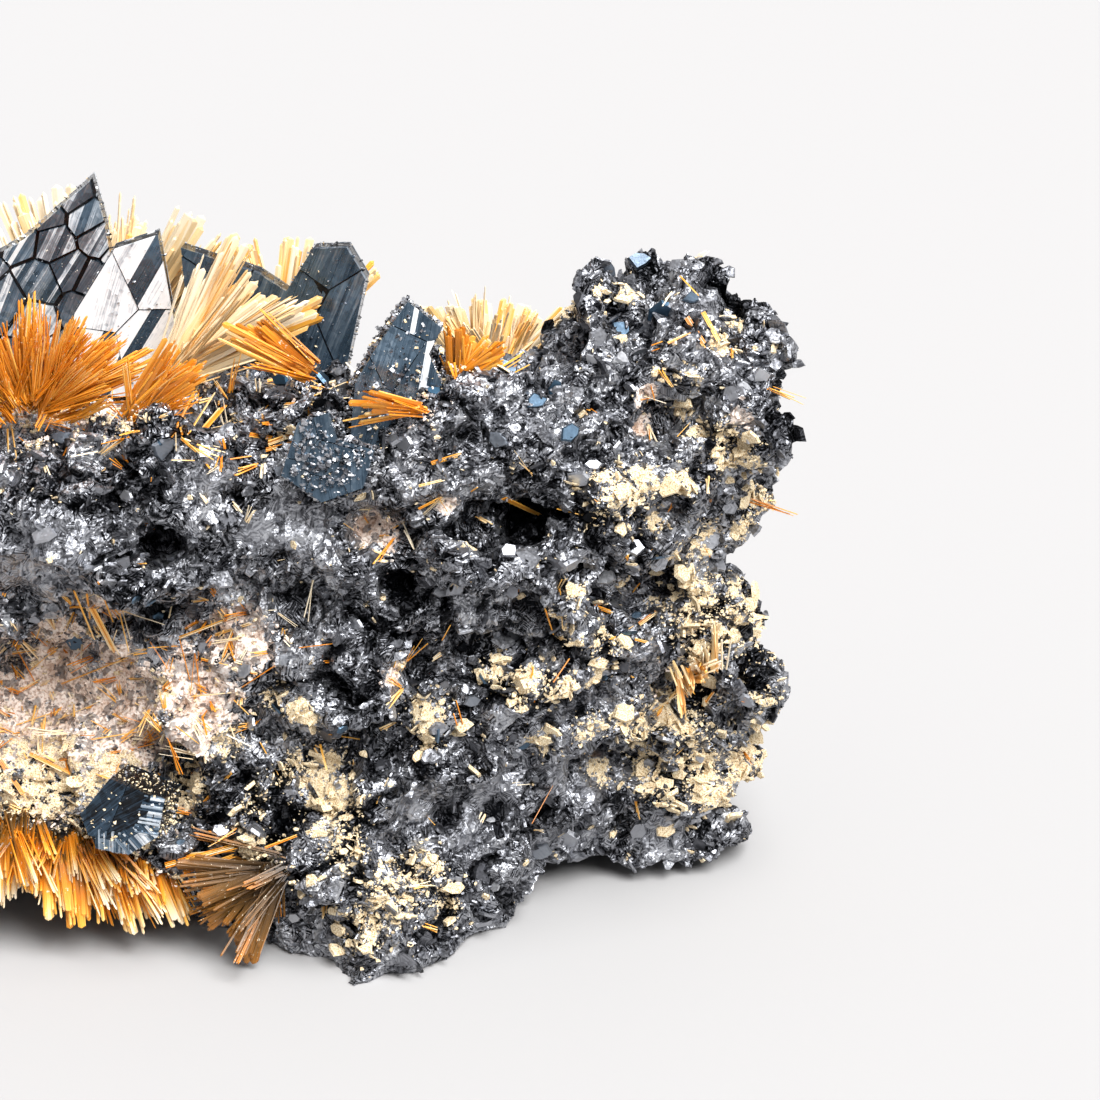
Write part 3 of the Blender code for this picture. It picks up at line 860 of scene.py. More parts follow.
@dataclass(frozen=True)
class CrystalFinish:
    """Mirror-bright blue-black hematite faces with growth lines, dust, and bright bands whose near-white
    colour is painted glare.
    """

    name: str
    tones: tuple = (
        (0.05, (0.008, 0.009, 0.011, 1)),
        (0.25, (0.045, 0.078, 0.118, 1)),
        (0.50, (0.125, 0.185, 0.250, 1)),
        (0.72, (0.36, 0.43, 0.50, 1)),
        # The last stop is painted glare: near-white colour on the bright bands.
        (0.95, (0.88, 0.89, 0.90, 1)),
    )
    dust: tuple = (0.80, 0.76, 0.68, 1)
    pitch: float = 0.3  # of the growth lines, in millimetres
    groove: float = 0.06 * MM

    def build(self, effects: Effects) -> bpy.types.Material:
        """Makes the material, which reads the marks tone, across and along.

        Args:
            effects: The shared effects.

        Returns:
            The material.
        """
        material, wires, shader = new_finish(self.name)
        place = wires.place()
        run = {"Across": wires.mark("across"), "Along": wires.mark("along"), "Pitch": self.pitch}
        height = effects.growth.use(wires, run)["Height"]
        micro = effects.facets.use(wires, {"Place": place, "Size": 0.4, "Strength": 0.09})
        dust = effects.ragged.use(wires, {"Place": place, "Share": 0.31, "Size": 0.6})["Mask"]

        wave = wires.math("SUBTRACT", height, 0.5)
        tone = wires.total(wires.mark("tone"), (wave, 0.55), (micro["Chance"], 0.1))
        # Painted glare on the bright bands, and real dust: both turn pale, less metallic and rougher.
        glare_and_dust = wires.math("MAXIMUM", wires.step(tone, 0.6, 0.95), dust)
        relief = {"Height": height, "Normal": micro["Normal"], "Distance": self.groove, "Strength": 0.3}
        wires.feed(shader, {
            "Base Color": wires.colour_mix(dust, wires.ramp(tone, self.tones), self.dust),
            "Metallic": wires.value_mix(glare_and_dust, 0.72, 0.25),
            "Roughness": wires.value_mix(glare_and_dust, 0.16, 0.4),
            "Normal": wires.add("ShaderNodeBump", relief).outputs["Normal"],
        })
        return material


@dataclass(frozen=True)
class RutileFinish:
    """Glassy rutile, from brown through deep orange to straw, paler towards the tips."""

    name: str = "rutile_needles"
    stops: tuple = (
        (0.0, (0.020, 0.011, 0.004, 1)),
        (0.22, (0.17, 0.078, 0.014, 1)),
        (0.46, (0.76, 0.235, 0.008, 1)),
        (0.68, (0.90, 0.45, 0.06, 1)),
        (0.84, (0.88, 0.66, 0.36, 1)),
        (1.0, (0.92, 0.80, 0.60, 1)),
    )
    pitch: float = 0.08  # of the growth lines, in millimetres
    groove: float = 0.04 * MM

    def build(self, effects: Effects) -> bpy.types.Material:
        """Makes the material, which reads the marks hue, tip, across and along.

        Args:
            effects: The shared effects.

        Returns:
            The material.
        """
        material, wires, shader = new_finish(self.name)
        run = {"Across": wires.mark("across"), "Along": wires.mark("along"), "Pitch": self.pitch}
        height = effects.growth.use(wires, run)["Height"]
        crumbs = effects.ragged.use(wires, {"Place": wires.place(), "Share": 0.34, "Size": 0.3})
        wave = wires.math("MULTIPLY", wires.math("SUBTRACT", height, 0.5), 0.4)
        hue = wires.math("ADD", wires.math("ADD", wires.mark("hue"), wires.mark("tip")), wave, clamp=True)
        relief = {"Height": height, "Distance": self.groove, "Strength": 0.5}
        wires.feed(shader, {
            "Base Color": wires.colour_mix(crumbs["Mask"], wires.ramp(hue, self.stops), self.stops[-1][1]),
            "Roughness": wires.value_mix(height, 0.22, 0.5),
            "IOR": 1.5,
            "Normal": wires.add("ShaderNodeBump", relief).outputs["Normal"],
        })
        return material


@dataclass(frozen=True)
class Relief:
    """Heights of the rock's broken surface, as a function of place. Lengths are in metres."""

    sizes: tuple = (4.6 * MM, 2.1 * MM, 1.0 * MM)
    depths: tuple = (1.0 * MM, 0.6 * MM, 0.28 * MM)
    crack_width: float = 0.2  # over the block's size
    crack_depths: tuple = (1.1 * MM, 0.5 * MM, 0.0)
    proud: float = 0.5 * MM
    lean: float = 1.8  # slope of the blocks' tops
    step: float = 0.4  # between two blocks, over their size

    def blocks(self, places: np.ndarray, size: float, seed: float) -> tuple[np.ndarray, np.ndarray]:
        """Faceted blocks: one tilted plane for each Voronoi cell.

        Args:
            places: One place a row.
            size: Size of a block.
            seed: Moves the blocks.

        Returns:
            The height, and how far each place is from its block's border.
        """
        heights, borders = [], []
        half = Vector((0.5, 0.5, 0.5))
        for place in (places / size + seed * 7.7).tolist():
            away, centres = noise.voronoi(place)
            tilt = noise.cell_vector(centres[0] * 6.7) - half
            slope = self.lean * tilt.dot(Vector(place) - centres[0])
            heights.append(slope + self.step * noise.cell(centres[0] * 4.3))
            borders.append(away[1] - away[0])
        return np.array(heights), np.array(borders)

    def at(self, places: np.ndarray) -> tuple[np.ndarray, np.ndarray]:
        """The relief at each place.

        Args:
            places: One place a row.

        Returns:
            The height over the even surface, and how deep in a crack or hollow the place is, 0 to 1, which
            is later painted as shade.
        """
        height = np.zeros(len(places))
        crack = np.zeros(len(places))
        for index, (size, depth) in enumerate(zip(self.sizes, self.depths)):
            level, border = self.blocks(places, size, float(index))
            height += depth * level
            if self.crack_depths[index]:
                gap = np.clip(1 - border / self.crack_width, 0, 1)
                gap *= np.clip(noise_at(places, 2.5 * size, 8.0 + index) * 2 + 0.6, 0, 1)
                height -= self.crack_depths[index] * gap
                crack = np.maximum(crack, gap)
        pit = np.maximum(crack, np.clip(-height / MM * 0.7 - 0.15, 0, 1))
        raised = np.minimum(height * 0.6, self.proud)
        return np.where(height > 0, raised, height), pit


@dataclass
class RockSkin:
    """The rock's broken surface, over the CAD rock. Lengths are in metres."""

    relief: Relief
    voxel: float = 0.53 * MM
    hollow: float = 1.3 * MM
    powder: float = 0.3 * MM
    calm_gangue: float = 0.45  # share of the relief that the ground takes away
    calm_smooth: float = 0.65

    def build(self) -> bpy.types.Object:
        """Copies the CAD rock and rebuilds it as an even mesh.

        Returns:
            The copy, not yet in the scene.
        """
        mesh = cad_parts[Slot.ROCK.value].data.copy()
        mesh.materials.clear()
        skin = bpy.data.objects.new("granular_rock", mesh)
        put_in_scene(skin)
        remesh = skin.modifiers.new("even", "REMESH")
        remesh.mode = "VOXEL"
        remesh.voxel_size = self.voxel
        made = skin.evaluated_get(bpy.context.evaluated_depsgraph_get())
        mesh = bpy.data.meshes.new_from_object(made)
        skin.modifiers.clear()
        skin.data = mesh
        bpy.context.scene.collection.objects.unlink(skin)
        return skin

    def roughen(self, skin: bpy.types.Object, grounds: GroundMap) -> None:
        """Breaks the surface into blocks and grains, and marks its grounds.

        Args:
            skin: The even mesh.
            grounds: Where the grounds lie.
        """
        mesh = skin.data
        places = read(mesh.vertices, "co").astype(float)
        normals = read(mesh.vertices, "normal")
        gangue, cream, smooth, hollow = (grounds.share(ground, places) for ground in Ground)
        calm = 1 - np.maximum(self.calm_gangue * np.minimum(gangue * 1.6, 1), self.calm_smooth * smooth)
        calm *= np.clip(places[:, 2] / MM - 0.2, 0, 1)
        height, pit = self.relief.at(places)
        powder = noise_at(places, 1.4 * MM, 21.0) + 0.5 * noise_at(places, 0.7 * MM, 22.0)
        height = height * calm + self.powder * powder * gangue * 1.6 - self.hollow * hollow * calm
        moved = places + normals * height[:, None]
        moved[:, 2] = np.maximum(moved[:, 2], 0)
        mesh.vertices.foreach_set("co", moved.astype(np.float32).reshape(-1))
        mesh.update()
        tone = 0.42 + noise_at(places, 3.2 * MM, 3.0) * 0.7 + noise_at(places, 1.1 * MM, 4.0) * 0.5
        # Painted shade: cracks, low places and the sunk hollows are marked to be drawn darker.
        pit = np.maximum(pit * calm, hollow * 0.9)
        add_marks(mesh, {
            "tone": np.clip(tone, 0, 1) * (1 - 0.55 * smooth) + 0.3 * smooth,
            "cover": cream * 0.60 * (1 - 0.4 * pit),
            "gangue": gangue * 0.72 * (1 - 0.35 * pit),
            "smooth": 0.4 * smooth,
            "pit": np.clip(pit * 0.7, 0, 1) * (1 - 0.5 * gangue),
            "blue": np.zeros(len(places)),
        })
        mesh.shade_flat()


@dataclass(frozen=True)
class FlakeSort:
    """One sort of flake in the crust. Lengths are in millimetres."""

    count: int
    smallest: float  # radius
    largest: float
    thickness: tuple = (0.12, 0.3)  # over the radius
    lie: float = 0.5  # how flat the flakes lie on the rock
    stray: float = 0.5  # how much a flake strays from its cluster's lean
    cluster: float = 2.6
    sides: int = 5
    ground: Ground | None = None  # only there
    tone: tuple = (0.0, 0.75)
    smooth: float = 0.55
    blue: float = 0.0
    cream: float = 0.0  # share that is coated everywhere
    slender: float = 0.5  # least width over length
    bevel: float = 0.84  # width of the face over that of the back
    small: float = 1.6  # how far small flakes outnumber large ones

    def form(self) -> np.ndarray:
        """Joins a flake's corners.

        Returns:
            The triangles of its two faces and of the band between them.
        """
        sides = self.sides
        face = [(0, i, i + 1) for i in range(1, sides - 1)]
        back = [(sides, sides + i + 1, sides + i) for i in range(1, sides - 1)]
        band = []
        for i in range(sides):
            j = (i + 1) % sides
            band += [(i, sides + i, sides + j), (i, sides + j, j)]
        return np.array(face + back + band)

    def grow(self, places: np.ndarray, normals: np.ndarray, dice: np.random.Generator,
             axes: np.ndarray | None = None) -> np.ndarray:
        """Makes a flake at each place.

        Args:
            places: Where the flakes stand.
            normals: The surface's normals there.
            dice: The source of chance.
            axes: The flakes' own normals, where they are settled.

        Returns:
            The corners, as flakes by corners by 3.
        """
        count = len(places)
        if axes is None:
            lean = cluster_vectors(places, self.cluster * MM, float(self.sides))
            stray = dice.normal(size=(count, 3))
            axes = unit(normals * self.lie + unit(lean) * 0.8 + stray * self.stray * 0.5)
        ratio = self.largest / self.smallest
        radius = self.smallest * ratio ** (dice.random(count) ** self.small) * MM
        thick = radius * dice.uniform(*self.thickness, count)
        first, second = sides_of(axes)
        turn = dice.uniform(0, math.tau, (count, 1))
        steps = np.arange(self.sides) + dice.uniform(-0.3, 0.3, (count, self.sides))
        spokes = radius[:, None] * dice.uniform(0.62, 1.1, (count, self.sides))
        angles = turn + math.tau * steps / self.sides
        x = spokes * np.cos(angles)
        y = spokes * np.sin(angles) * dice.uniform(self.slender, 1.0, (count, 1))
        standing = 1 - np.abs((axes * normals).sum(axis=1))
        middle = places + normals * (radius * standing * 0.3 + thick * 0.2)[:, None]
        ring = x[..., None] * first[:, None] + y[..., None] * second[:, None]
        rise = (axes * (thick / 2)[:, None])[:, None]
        top = middle[:, None] + ring * self.bevel + rise
        bottom = middle[:, None] + ring - rise
        corners = np.concatenate([top, bottom], axis=1)
        corners[..., 2] = np.maximum(corners[..., 2], 0.02 * MM)
        return corners


@dataclass
class FlakeCrust:
    """Thousands of thin hematite crystals and crumbs of gangue that stand on the rock."""

    surface: Surface
    grounds: GroundMap
    material: bpy.types.Material

    def weight(self, sort: FlakeSort) -> np.ndarray:
        """How densely a sort of flake stands.

        Args:
            sort: The sort of flake.

        Returns:
            Relative density at each triangle of the rock.
        """
        places, normals = self.surface.middles, self.surface.normals
        facing = np.clip(0.35 - normals[:, 1] + 0.45 * normals[:, 2], 0, 1)
        weight = 0.35 + facing
        if sort.ground is None:
            gangue = self.grounds.share(Ground.GANGUE, places)
            smooth = self.grounds.share(Ground.SMOOTH, places)
            hollow = self.grounds.share(Ground.HOLLOW, places)
            weight *= np.clip(1.0 - 1.1 * gangue, 0.12, 1) * (1 - 0.75 * smooth) * (1 - 0.6 * hollow)
        else:
            weight *= np.clip(self.grounds.share(sort.ground, places) * 1.4 - 0.3, 0, 1)
        clear_of_floor = (places[:, 2] > (0.1 + 0.6 * sort.largest) * MM) & (normals[:, 2] > -0.97)
        return weight * clear_of_floor

    def marks(self, sort: FlakeSort, places: np.ndarray, dice: np.random.Generator) -> dict:
        """The marks that the flakes' material reads.

        Args:
            sort: The sort of flake.
            places: Where the flakes stand.
            dice: The source of chance.

        Returns:
            Each mark's values, one a flake or one for all.
        """
        count = len(places)
        tone = dice.uniform(*sort.tone, count) + noise_at(places, 2.4 * MM, 3.0) * 0.4 + 0.1
        broken = noise_at(places, 0.8 * MM, 6.0) + dice.uniform(-0.15, 0.15, count) + 0.5
        covered = (broken < self.grounds.share(Ground.CREAM, places) * 0.72).astype(float)
        covered = np.maximum(covered, dice.random(count) < sort.cream)
        pinked = np.zeros(count)
        if sort.ground is Ground.CREAM:
            covered = (dice.random(count) < 0.85).astype(float)
        if sort.ground is Ground.GANGUE:
            pinked = (dice.random(count) < 0.7).astype(float)
            covered = ((1 - pinked) * (dice.random(count) < 0.5)).astype(float)
        # Painted shade: each flake is drawn darker in the crack or hollow it stands in.
        pits = self.surface.nearest(places)[2]
        return {
            "tone": np.clip(tone, 0, 1.2),
            "cover": covered,
            "gangue": pinked,
            "smooth": sort.smooth,
            "pit": np.clip(pits * 0.9, 0, 1),
            "blue": sort.blue,
        }

    def build(self, name: str, seed: int, *sorts: FlakeSort) -> None:
        """Makes one joined piece of flakes.

        Args:
            name: The piece's name.
            seed: Of its source of chance.
            sorts: The sorts of flake in it.
        """
        dice = np.random.default_rng(seed)
        pile = Pile(name)
        for sort in sorts:
            self.sow(pile, sort, dice)
        pile.finish(self.material, Slot.ROCK)

    def sow(self, pile: Pile, sort: FlakeSort, dice: np.random.Generator) -> None:
        """Scatters one sort of flake over the rock.

        Args:
            pile: Where the flakes go.
            sort: The sort of flake.
            dice: The source of chance.
        """
        places, normals = self.surface.scatter(dice, sort.count, self.weight(sort))
        pile.add(sort.grow(places, normals, dice), sort.form(), **self.marks(sort, places, dice))

    def build_flat_crystals(self, view: PhotoView) -> None:
        """Makes the larger flat crystals: those that the photograph shows, and others all over.

        Args:
            view: The photograph's camera.
        """
        dice = np.random.default_rng(31)
        pile = Pile("hematite_flat_crystals")
        flat = FlakeSort(1, 0.5, 1.35, thickness=(0.14, 0.3), sides=6, smooth=0.93, slender=0.6)
        for u, v, radius, tone, blue in FLAT_CRYSTALS:
            hit = self.surface.under(view, u, v)
            if hit:
                sort = replace(flat, smallest=radius * 0.85, largest=radius)
                place, normal = (np.array([tuple(vector)]) for vector in hit)
                axis = unit(normal + dice.normal(size=(1, 3)) * 0.3 - np.array([view.axes()[2]]) * 0.8)
                marks = self.marks(sort, place, dice)
                marks |= {"tone": tone, "blue": blue, "pit": 0.0, "cover": 0.0}
                lifted = place + normal * 0.2 * MM
                pile.add(sort.grow(lifted, normal, dice, axis), sort.form(), **marks)
        for blue, count in ((0.0, 420), (0.8, 90)):
            self.sow(pile, replace(flat, count=count, lie=1.0, blue=blue, tone=(0.35, 0.95)), dice)
        pile.finish(self.material, Slot.ROCK)

    def build_root_crumbs(self, sprays: list["Spray"]) -> None:
        """Heaps crumbs of gangue where the rutile sprays leave the rock.

        Args:
            sprays: The sprays.
        """
        dice = np.random.default_rng(37)
        pile = Pile("gangue_at_the_roots")
        for spray in sprays:
            count = spray.crumbs
            share = dice.uniform(-0.1, 1.1, (count, 1))
            spots = np.array(spray.root) + np.array(CAD_SHIFT) + share * np.array(spray.row)
            spots = spots + dice.normal(size=(count, 3)) * (0.5 * spray.width + 0.5)
            places, normals, _ = self.surface.nearest(spots * MM)
            for powder, high in ((0.9, 0.36), (0.75, 0.26)):
                sort = FlakeSort(count, 0.08, high, thickness=(0.4, 0.9), sides=4, lie=1.0, cream=0.45)
                nudge = normals * dice.uniform(0, 0.7, (count, 1)) * MM
                marks = self.marks(sort, places, dice)
                marks |= {"gangue": (dice.random(count) < powder).astype(float)}
                pile.add(sort.grow(places + nudge, normals, dice), sort.form(), **marks)
        pile.finish(self.material, Slot.ROCK)


class Tint(Enum):
    """Rutile colours: lowest and highest hue on the finish's ramp, and how much tips pale."""

    ORANGE = (0.28, 0.57, 0.12)
    AMBER = (0.0, 0.38, 0.58)
    GOLD = (0.50, 0.78, 0.2)
    PALE = (0.70, 0.98, 0.04)
    # Partly painted shade: the low fan's darkest hues stand in for the shade under the overhang as well as
    # its brown colour.
    BROWN = (-0.2, 0.02, 0.26)


@dataclass(frozen=True)
class Fan:
    """The middle line and plane of a spray, in millimetres."""

    start: Vector
    aim: Vector
    face: Vector  # normal of its plane
    row: Vector  # from its first root to its last
    sense: int  # 1 or -1, which way the blades follow the row

    def direction(self, angle: float, tilt: float) -> Vector:
        """The aim, turned in the fan's plane and tilted out of it, by degrees."""
        turned = Matrix.Rotation(self.sense * math.radians(angle), 3, self.face) @ self.aim
        return Matrix.Rotation(math.radians(tilt), 3, self.face.cross(self.aim)) @ turned


@dataclass(frozen=True)
class Spray:
    """A fan or curtain of rutile. Places and lengths are in millimetres, and its blades lie
    where the CAD spray's blades do."""

    name: str
    root: tuple
    aim: tuple
    face: tuple
    spread: float
    count: int
    length: float
    width: float
    tint: Tint
    seed: int
    row: tuple = (0, 0, 0)
    layers: int = 1
    needles: int = 16  # in each blade
    strays: int = 60
    stout: float = 0.11  # half width of a needle
    planks: float = 0.0  # share of broad flat blades
    crumbs: int = 50

    def fan(self) -> Fan:
        """Places the blades as in the CAD spray.

        Returns:
            Where they run.
        """
        aim = Vector(self.aim).normalized()
        face = (Vector(self.face) - aim * aim.dot(Vector(self.face))).normalized()
        row = Vector(self.row)
        sense = 1 if row.dot(face.cross(aim)) >= 0 else -1
        return Fan(Vector(self.root) + Vector(CAD_SHIFT), aim, face, row, sense)


CAD_SHIFT = (0.333, 0.491, 0.0)  # from the places below to the CAD frame, in millimetres
BLADE_WANDER = 4.0  # degrees
BLADE_TILT = 7.0
LAYER_TILT = 16.0
TUFT_WANDER = 11.0
TUFT_TILT = 18.0
FLATNESS = 0.55  # depth of a blade over its width

SPRAYS = [
    Spray("rutile_spray_front", (-17.5, -9.0, 45.8), (0.25, -0.1, 1), (0.1, 1, 0.2), 95, 6, 9.0, 1.5,
          Tint.ORANGE, 3, row=(4.5, 0, 0.4), layers=2, needles=24, strays=950, stout=0.085, crumbs=260),
    Spray("rutile_bundle_left", (-7.6, -12.2, 45.8), (0.72, -0.1, 0.8), (0, 1, 0), 26, 4, 8.8, 1.3,
          Tint.ORANGE, 5, needles=18, strays=60, stout=0.1, planks=0.3, crumbs=110),
    Spray("rutile_fan_pale", (-6.0, 2.2, 43.0), (0.78, 0.1, 0.62), (-0.1, 1, 0.1), 44, 7, 15.5, 1.7,
          Tint.PALE, 7, needles=18, strays=110, stout=0.17, planks=0.6, crumbs=160),
    Spray("rutile_bundle_middle", (6.6, -8.0, 48.0), (-0.85, -0.05, 0.62), (0, 1, 0), 16, 3, 8.2, 1.5,
          Tint.ORANGE, 9, needles=18, strays=20, planks=0.5, crumbs=50),
    Spray("rutile_spray_cross", (15.6, -13.2, 47.2), (-0.95, -0.18, 0.12), (0.1, 1, 0.4), 34, 5, 6.6, 0.9,
          Tint.ORANGE, 11, needles=6, strays=12, stout=0.11, planks=0.3, crumbs=30),
    Spray("rutile_spray_rim", (18.2, -8.0, 47.5), (0.55, -0.15, 0.8), (0, 1, 0), 70, 5, 5.4, 1.2,
          Tint.ORANGE, 13, needles=14, strays=40, planks=0.4, crumbs=90),
    Spray("rutile_spray_back_left", (-15, 12.4, 42.5), (0.15, 0.12, 1), (0, 1, -0.1), 60, 6, 13.5, 1.8,
          Tint.PALE, 15, row=(6, 0, 0), needles=22, strays=260, stout=0.2, planks=0.4, crumbs=110),
    Spray("rutile_spray_back_middle", (0, 14.2, 41.5), (0.0, 0.12, 1), (0, 1, -0.1), 80, 6, 9.5, 1.6,
          Tint.GOLD, 17, row=(5, 0, 0), needles=20, strays=260, stout=0.18, planks=0.4, crumbs=110),
    Spray("rutile_spray_back_right", (18, 12.5, 40.5), (0.1, 0.1, 1), (0, 1, -0.1), 80, 6, 6.6, 1.5,
          Tint.PALE, 19, row=(5, 0, 0), needles=20, strays=200, stout=0.17, planks=0.4, crumbs=110),
    Spray("rutile_curtain_low", (-20.0, -15.0, 11.2), (0.12, -0.25, -0.82), (0, -1, 0.2), 26, 9, 7.0, 1.8,
          Tint.AMBER, 21, row=(13.5, 0, -3.4), needles=24, strays=800, stout=0.13, planks=0.25, crumbs=360),
    Spray("rutile_fan_low", (3.4, -17.6, 8.4), (-0.86, -0.12, -0.62), (0.1, 1, 0), 78, 7, 8.6, 1.4,
          Tint.BROWN, 23, needles=18, strays=130, stout=0.14, planks=0.4, crumbs=60),
    Spray("rutile_boxwork", (36.0, -7.6, 21.0), (0.1, -0.9, 0.5), (1, 0.2, 0), 110, 5, 4.6, 1.2,
          Tint.PALE, 25, row=(3, 0, 0.5), needles=10, strays=30, stout=0.15, planks=0.6, crumbs=90),
    Spray("rutile_spray_outer", (-32, -9.0, 43.0), (-0.35, -0.2, 1), (0, 1, 0.2), 95, 6, 7.5, 1.4,
          Tint.ORANGE, 27, row=(4, 0, 0), needles=18, strays=360, stout=0.08, crumbs=160),
    Spray("rutile_curtain_outer", (-33.5, -12.6, 9.6), (-0.1, -0.3, -0.75), (0, -1, 0.2), 30, 6, 6.2, 1.6,
          Tint.AMBER, 29, row=(9, 0, 0.4), needles=20, strays=260, stout=0.13, planks=0.25, crumbs=160),
]


@dataclass
class NeedleMaker:
    """Builds needles as closed four-sided prisms with pointed tips."""

    material: bpy.types.Material
    shoulder: float = 0.975  # where the tip begins, over the length
    taper: float = 0.85  # width there, over that at the root
    depth: float = 0.7  # of a needle over its width
    plank_depth: float = 0.22
    plank_width: float = 2.1  # over a needle's
    strand: float = 0.13  # pitch of the strands in a wide loose needle, in millimetres
    lift: float = 0.4  # of a loose needle over the rock
    chip_groups: int = 900
    chip_length: float = 4.2  # at most
    chip_floor: float = 4.0  # least height over the floor

    def lay(self, pile: Pile, roots: np.ndarray, aims: np.ndarray, lengths: np.ndarray,
            widths: np.ndarray, hues: np.ndarray, pale_tip: float = 0.15, flat: np.ndarray | None = None,
            face: np.ndarray | None = None) -> None:
        """Adds needles to a pile.

        Args:
            pile: Where they go.
            roots: Where each begins, in metres.
            aims: Direction of each.
            lengths: Length of each, in metres.
            widths: Half width of each, in metres.
            hues: Colour of each, on the finish's ramp.
            pale_tip: Hue gained from root to tip.
            flat: Depth over width of each.
            face: Normal of each one's broad side.
        """
        aims = unit(aims)
        count = len(roots)
        flat = np.full(count, self.depth) if flat is None else flat
        first, second = sides_of(aims)
        if face is not None:
            first = unit(np.cross(face, aims))
            second = np.cross(aims, first)
        rings = []
        for height, share in ((0.0, 1.0), (self.shoulder, self.taper)):
            for a, b in ((1, 0), (0, 1), (-1, 0), (0, -1)):
                wide = widths * share
                across = first * (a * wide)[:, None] + second * (b * wide * flat)[:, None]
                rings.append(roots + aims * (lengths * height)[:, None] + across)
        rings.append(roots + aims * lengths[:, None])
        corners = np.stack(rings, axis=1)
        form = [(0, 2, 1), (0, 3, 2)]
        for i in range(4):
            j = (i + 1) % 4
            form += [(i, j, 4 + j), (i, 4 + j, 4 + i), (4 + i, 4 + j, 8)]
        heights = np.array([0.0] * 4 + [self.shoulder] * 4 + [1.0])
        across = np.array([1, 2, 3, 4, 1, 2, 3, 4, 2.5])[None] * (widths / MM)[:, None]
        along = heights[None] * (lengths / MM)[:, None]
        tips = np.broadcast_to(heights * pale_tip, (count, 9))
        shift = np.arange(count)[:, None] * 3.7
        pile.add(corners, np.array(form), hue=hues, tip=tips, across=across + shift, along=along)

    def dress_spray(self, spray: Spray) -> None:
        """Makes the needles of one spray, in place of its CAD node.

        Args:
            spray: The spray.
        """
        luck = random.Random(spray.seed)
        dice = np.random.default_rng(spray.seed)
        fan = spray.fan()
        pile = Pile(spray.name + "_needles")
        low, high, pale_tip = spray.tint.value
        count = spray.needles
        for layer in range(spray.layers):
            layer_tilt = LAYER_TILT * (layer - (spray.layers - 1) / 2)
            for i in range(spray.count):
                share = i / (spray.count - 1) - 0.5
                angle = spray.spread * share + luck.uniform(-BLADE_WANDER, BLADE_WANDER)
                direction = fan.direction(angle, luck.uniform(-BLADE_TILT, BLADE_TILT) + layer_tilt)
                length = spray.length * luck.uniform(0.72, 1.0)
                width = spray.width * luck.uniform(0.75, 1.15)
                side = fan.face.cross(direction).normalized()
                flat = direction.cross(side)
                across = dice.uniform(-0.5, 0.5, (count, 1)) * width
                depth = dice.uniform(-0.5, 0.5, (count, 1)) * width * FLATNESS
                late = length * dice.uniform(0, 0.25, (count, 1)) ** 1.5
                roots = np.array(fan.start + fan.row * (share + 0.5)) + across * np.array(side)
                roots = roots + depth * np.array(flat) + late * np.array(direction)
                aims = np.array(direction) + dice.normal(size=(count, 3)) * 0.04
                lengths = (length - late[:, 0]) * dice.uniform(0.72, 1.03, count)
                plank = dice.random(count) < spray.planks
                widths = spray.stout * dice.uniform(0.7, 1.5, count) * np.where(plank, self.plank_width, 1)
                flats = np.where(plank, self.plank_depth, self.depth)
                tone = dice.uniform(low, high)
                hues = np.clip(tone + dice.normal(size=count) * 0.08, 0, 1)
                broad = np.array(flat) + dice.normal(size=(count, 3)) * 0.25
                self.lay(pile, roots * MM, aims, lengths * MM, widths * MM, hues, pale_tip, flats, broad)
        self.add_strays(pile, spray, fan, dice)
        pile.finish(self.material, Slot.PALE if spray.tint is Tint.PALE else Slot.RUTILE, spray.name)

    def add_strays(self, pile: Pile, spray: Spray, fan: Fan, dice: np.random.Generator) -> None:
        """Adds tufts of finer parallel needles between and around a spray's blades.

        Args:
            pile: Where the needles go.
            spray: The spray.
            fan: Where its blades run.
            dice: The source of chance.
        """
        low, high, pale_tip = spray.tint.value
        tufts = 4 + spray.strays // 9
        tuft_roots, tuft_aims = [], []
        for part in dice.uniform(-0.5, 0.5, tufts):
            angle = spray.spread * 1.12 * part + dice.normal() * TUFT_WANDER
            tuft_aims.append(tuple(fan.direction(angle, dice.normal() * TUFT_TILT)))
            nudge = Vector(dice.normal(size=3) * spray.width * 0.45)
            tuft_roots.append(tuple(fan.start + fan.row * (part + 0.5) + nudge))
        tuft_reach = spray.length * dice.uniform(0.2, 0.95, tufts)
        tuft_hues = dice.uniform(low, high, tufts) + 0.03
        member = np.concatenate([np.arange(tufts), dice.integers(0, tufts, spray.strays)])
        count = len(member)
        roots = np.array(tuft_roots)[member] + dice.normal(size=(count, 3)) * spray.stout * 1.9
        aims = np.array(tuft_aims)[member] + dice.normal(size=(count, 3)) * 0.05
        lengths = tuft_reach[member] * dice.uniform(0.8, 1.0, count)
        widths = spray.stout * dice.uniform(0.45, 1.15, count)
        hues = np.clip(tuft_hues[member] + dice.normal(size=count) * 0.06, 0, 1)
        self.lay(pile, roots * MM, aims, lengths * MM, widths * MM, hues, pale_tip)

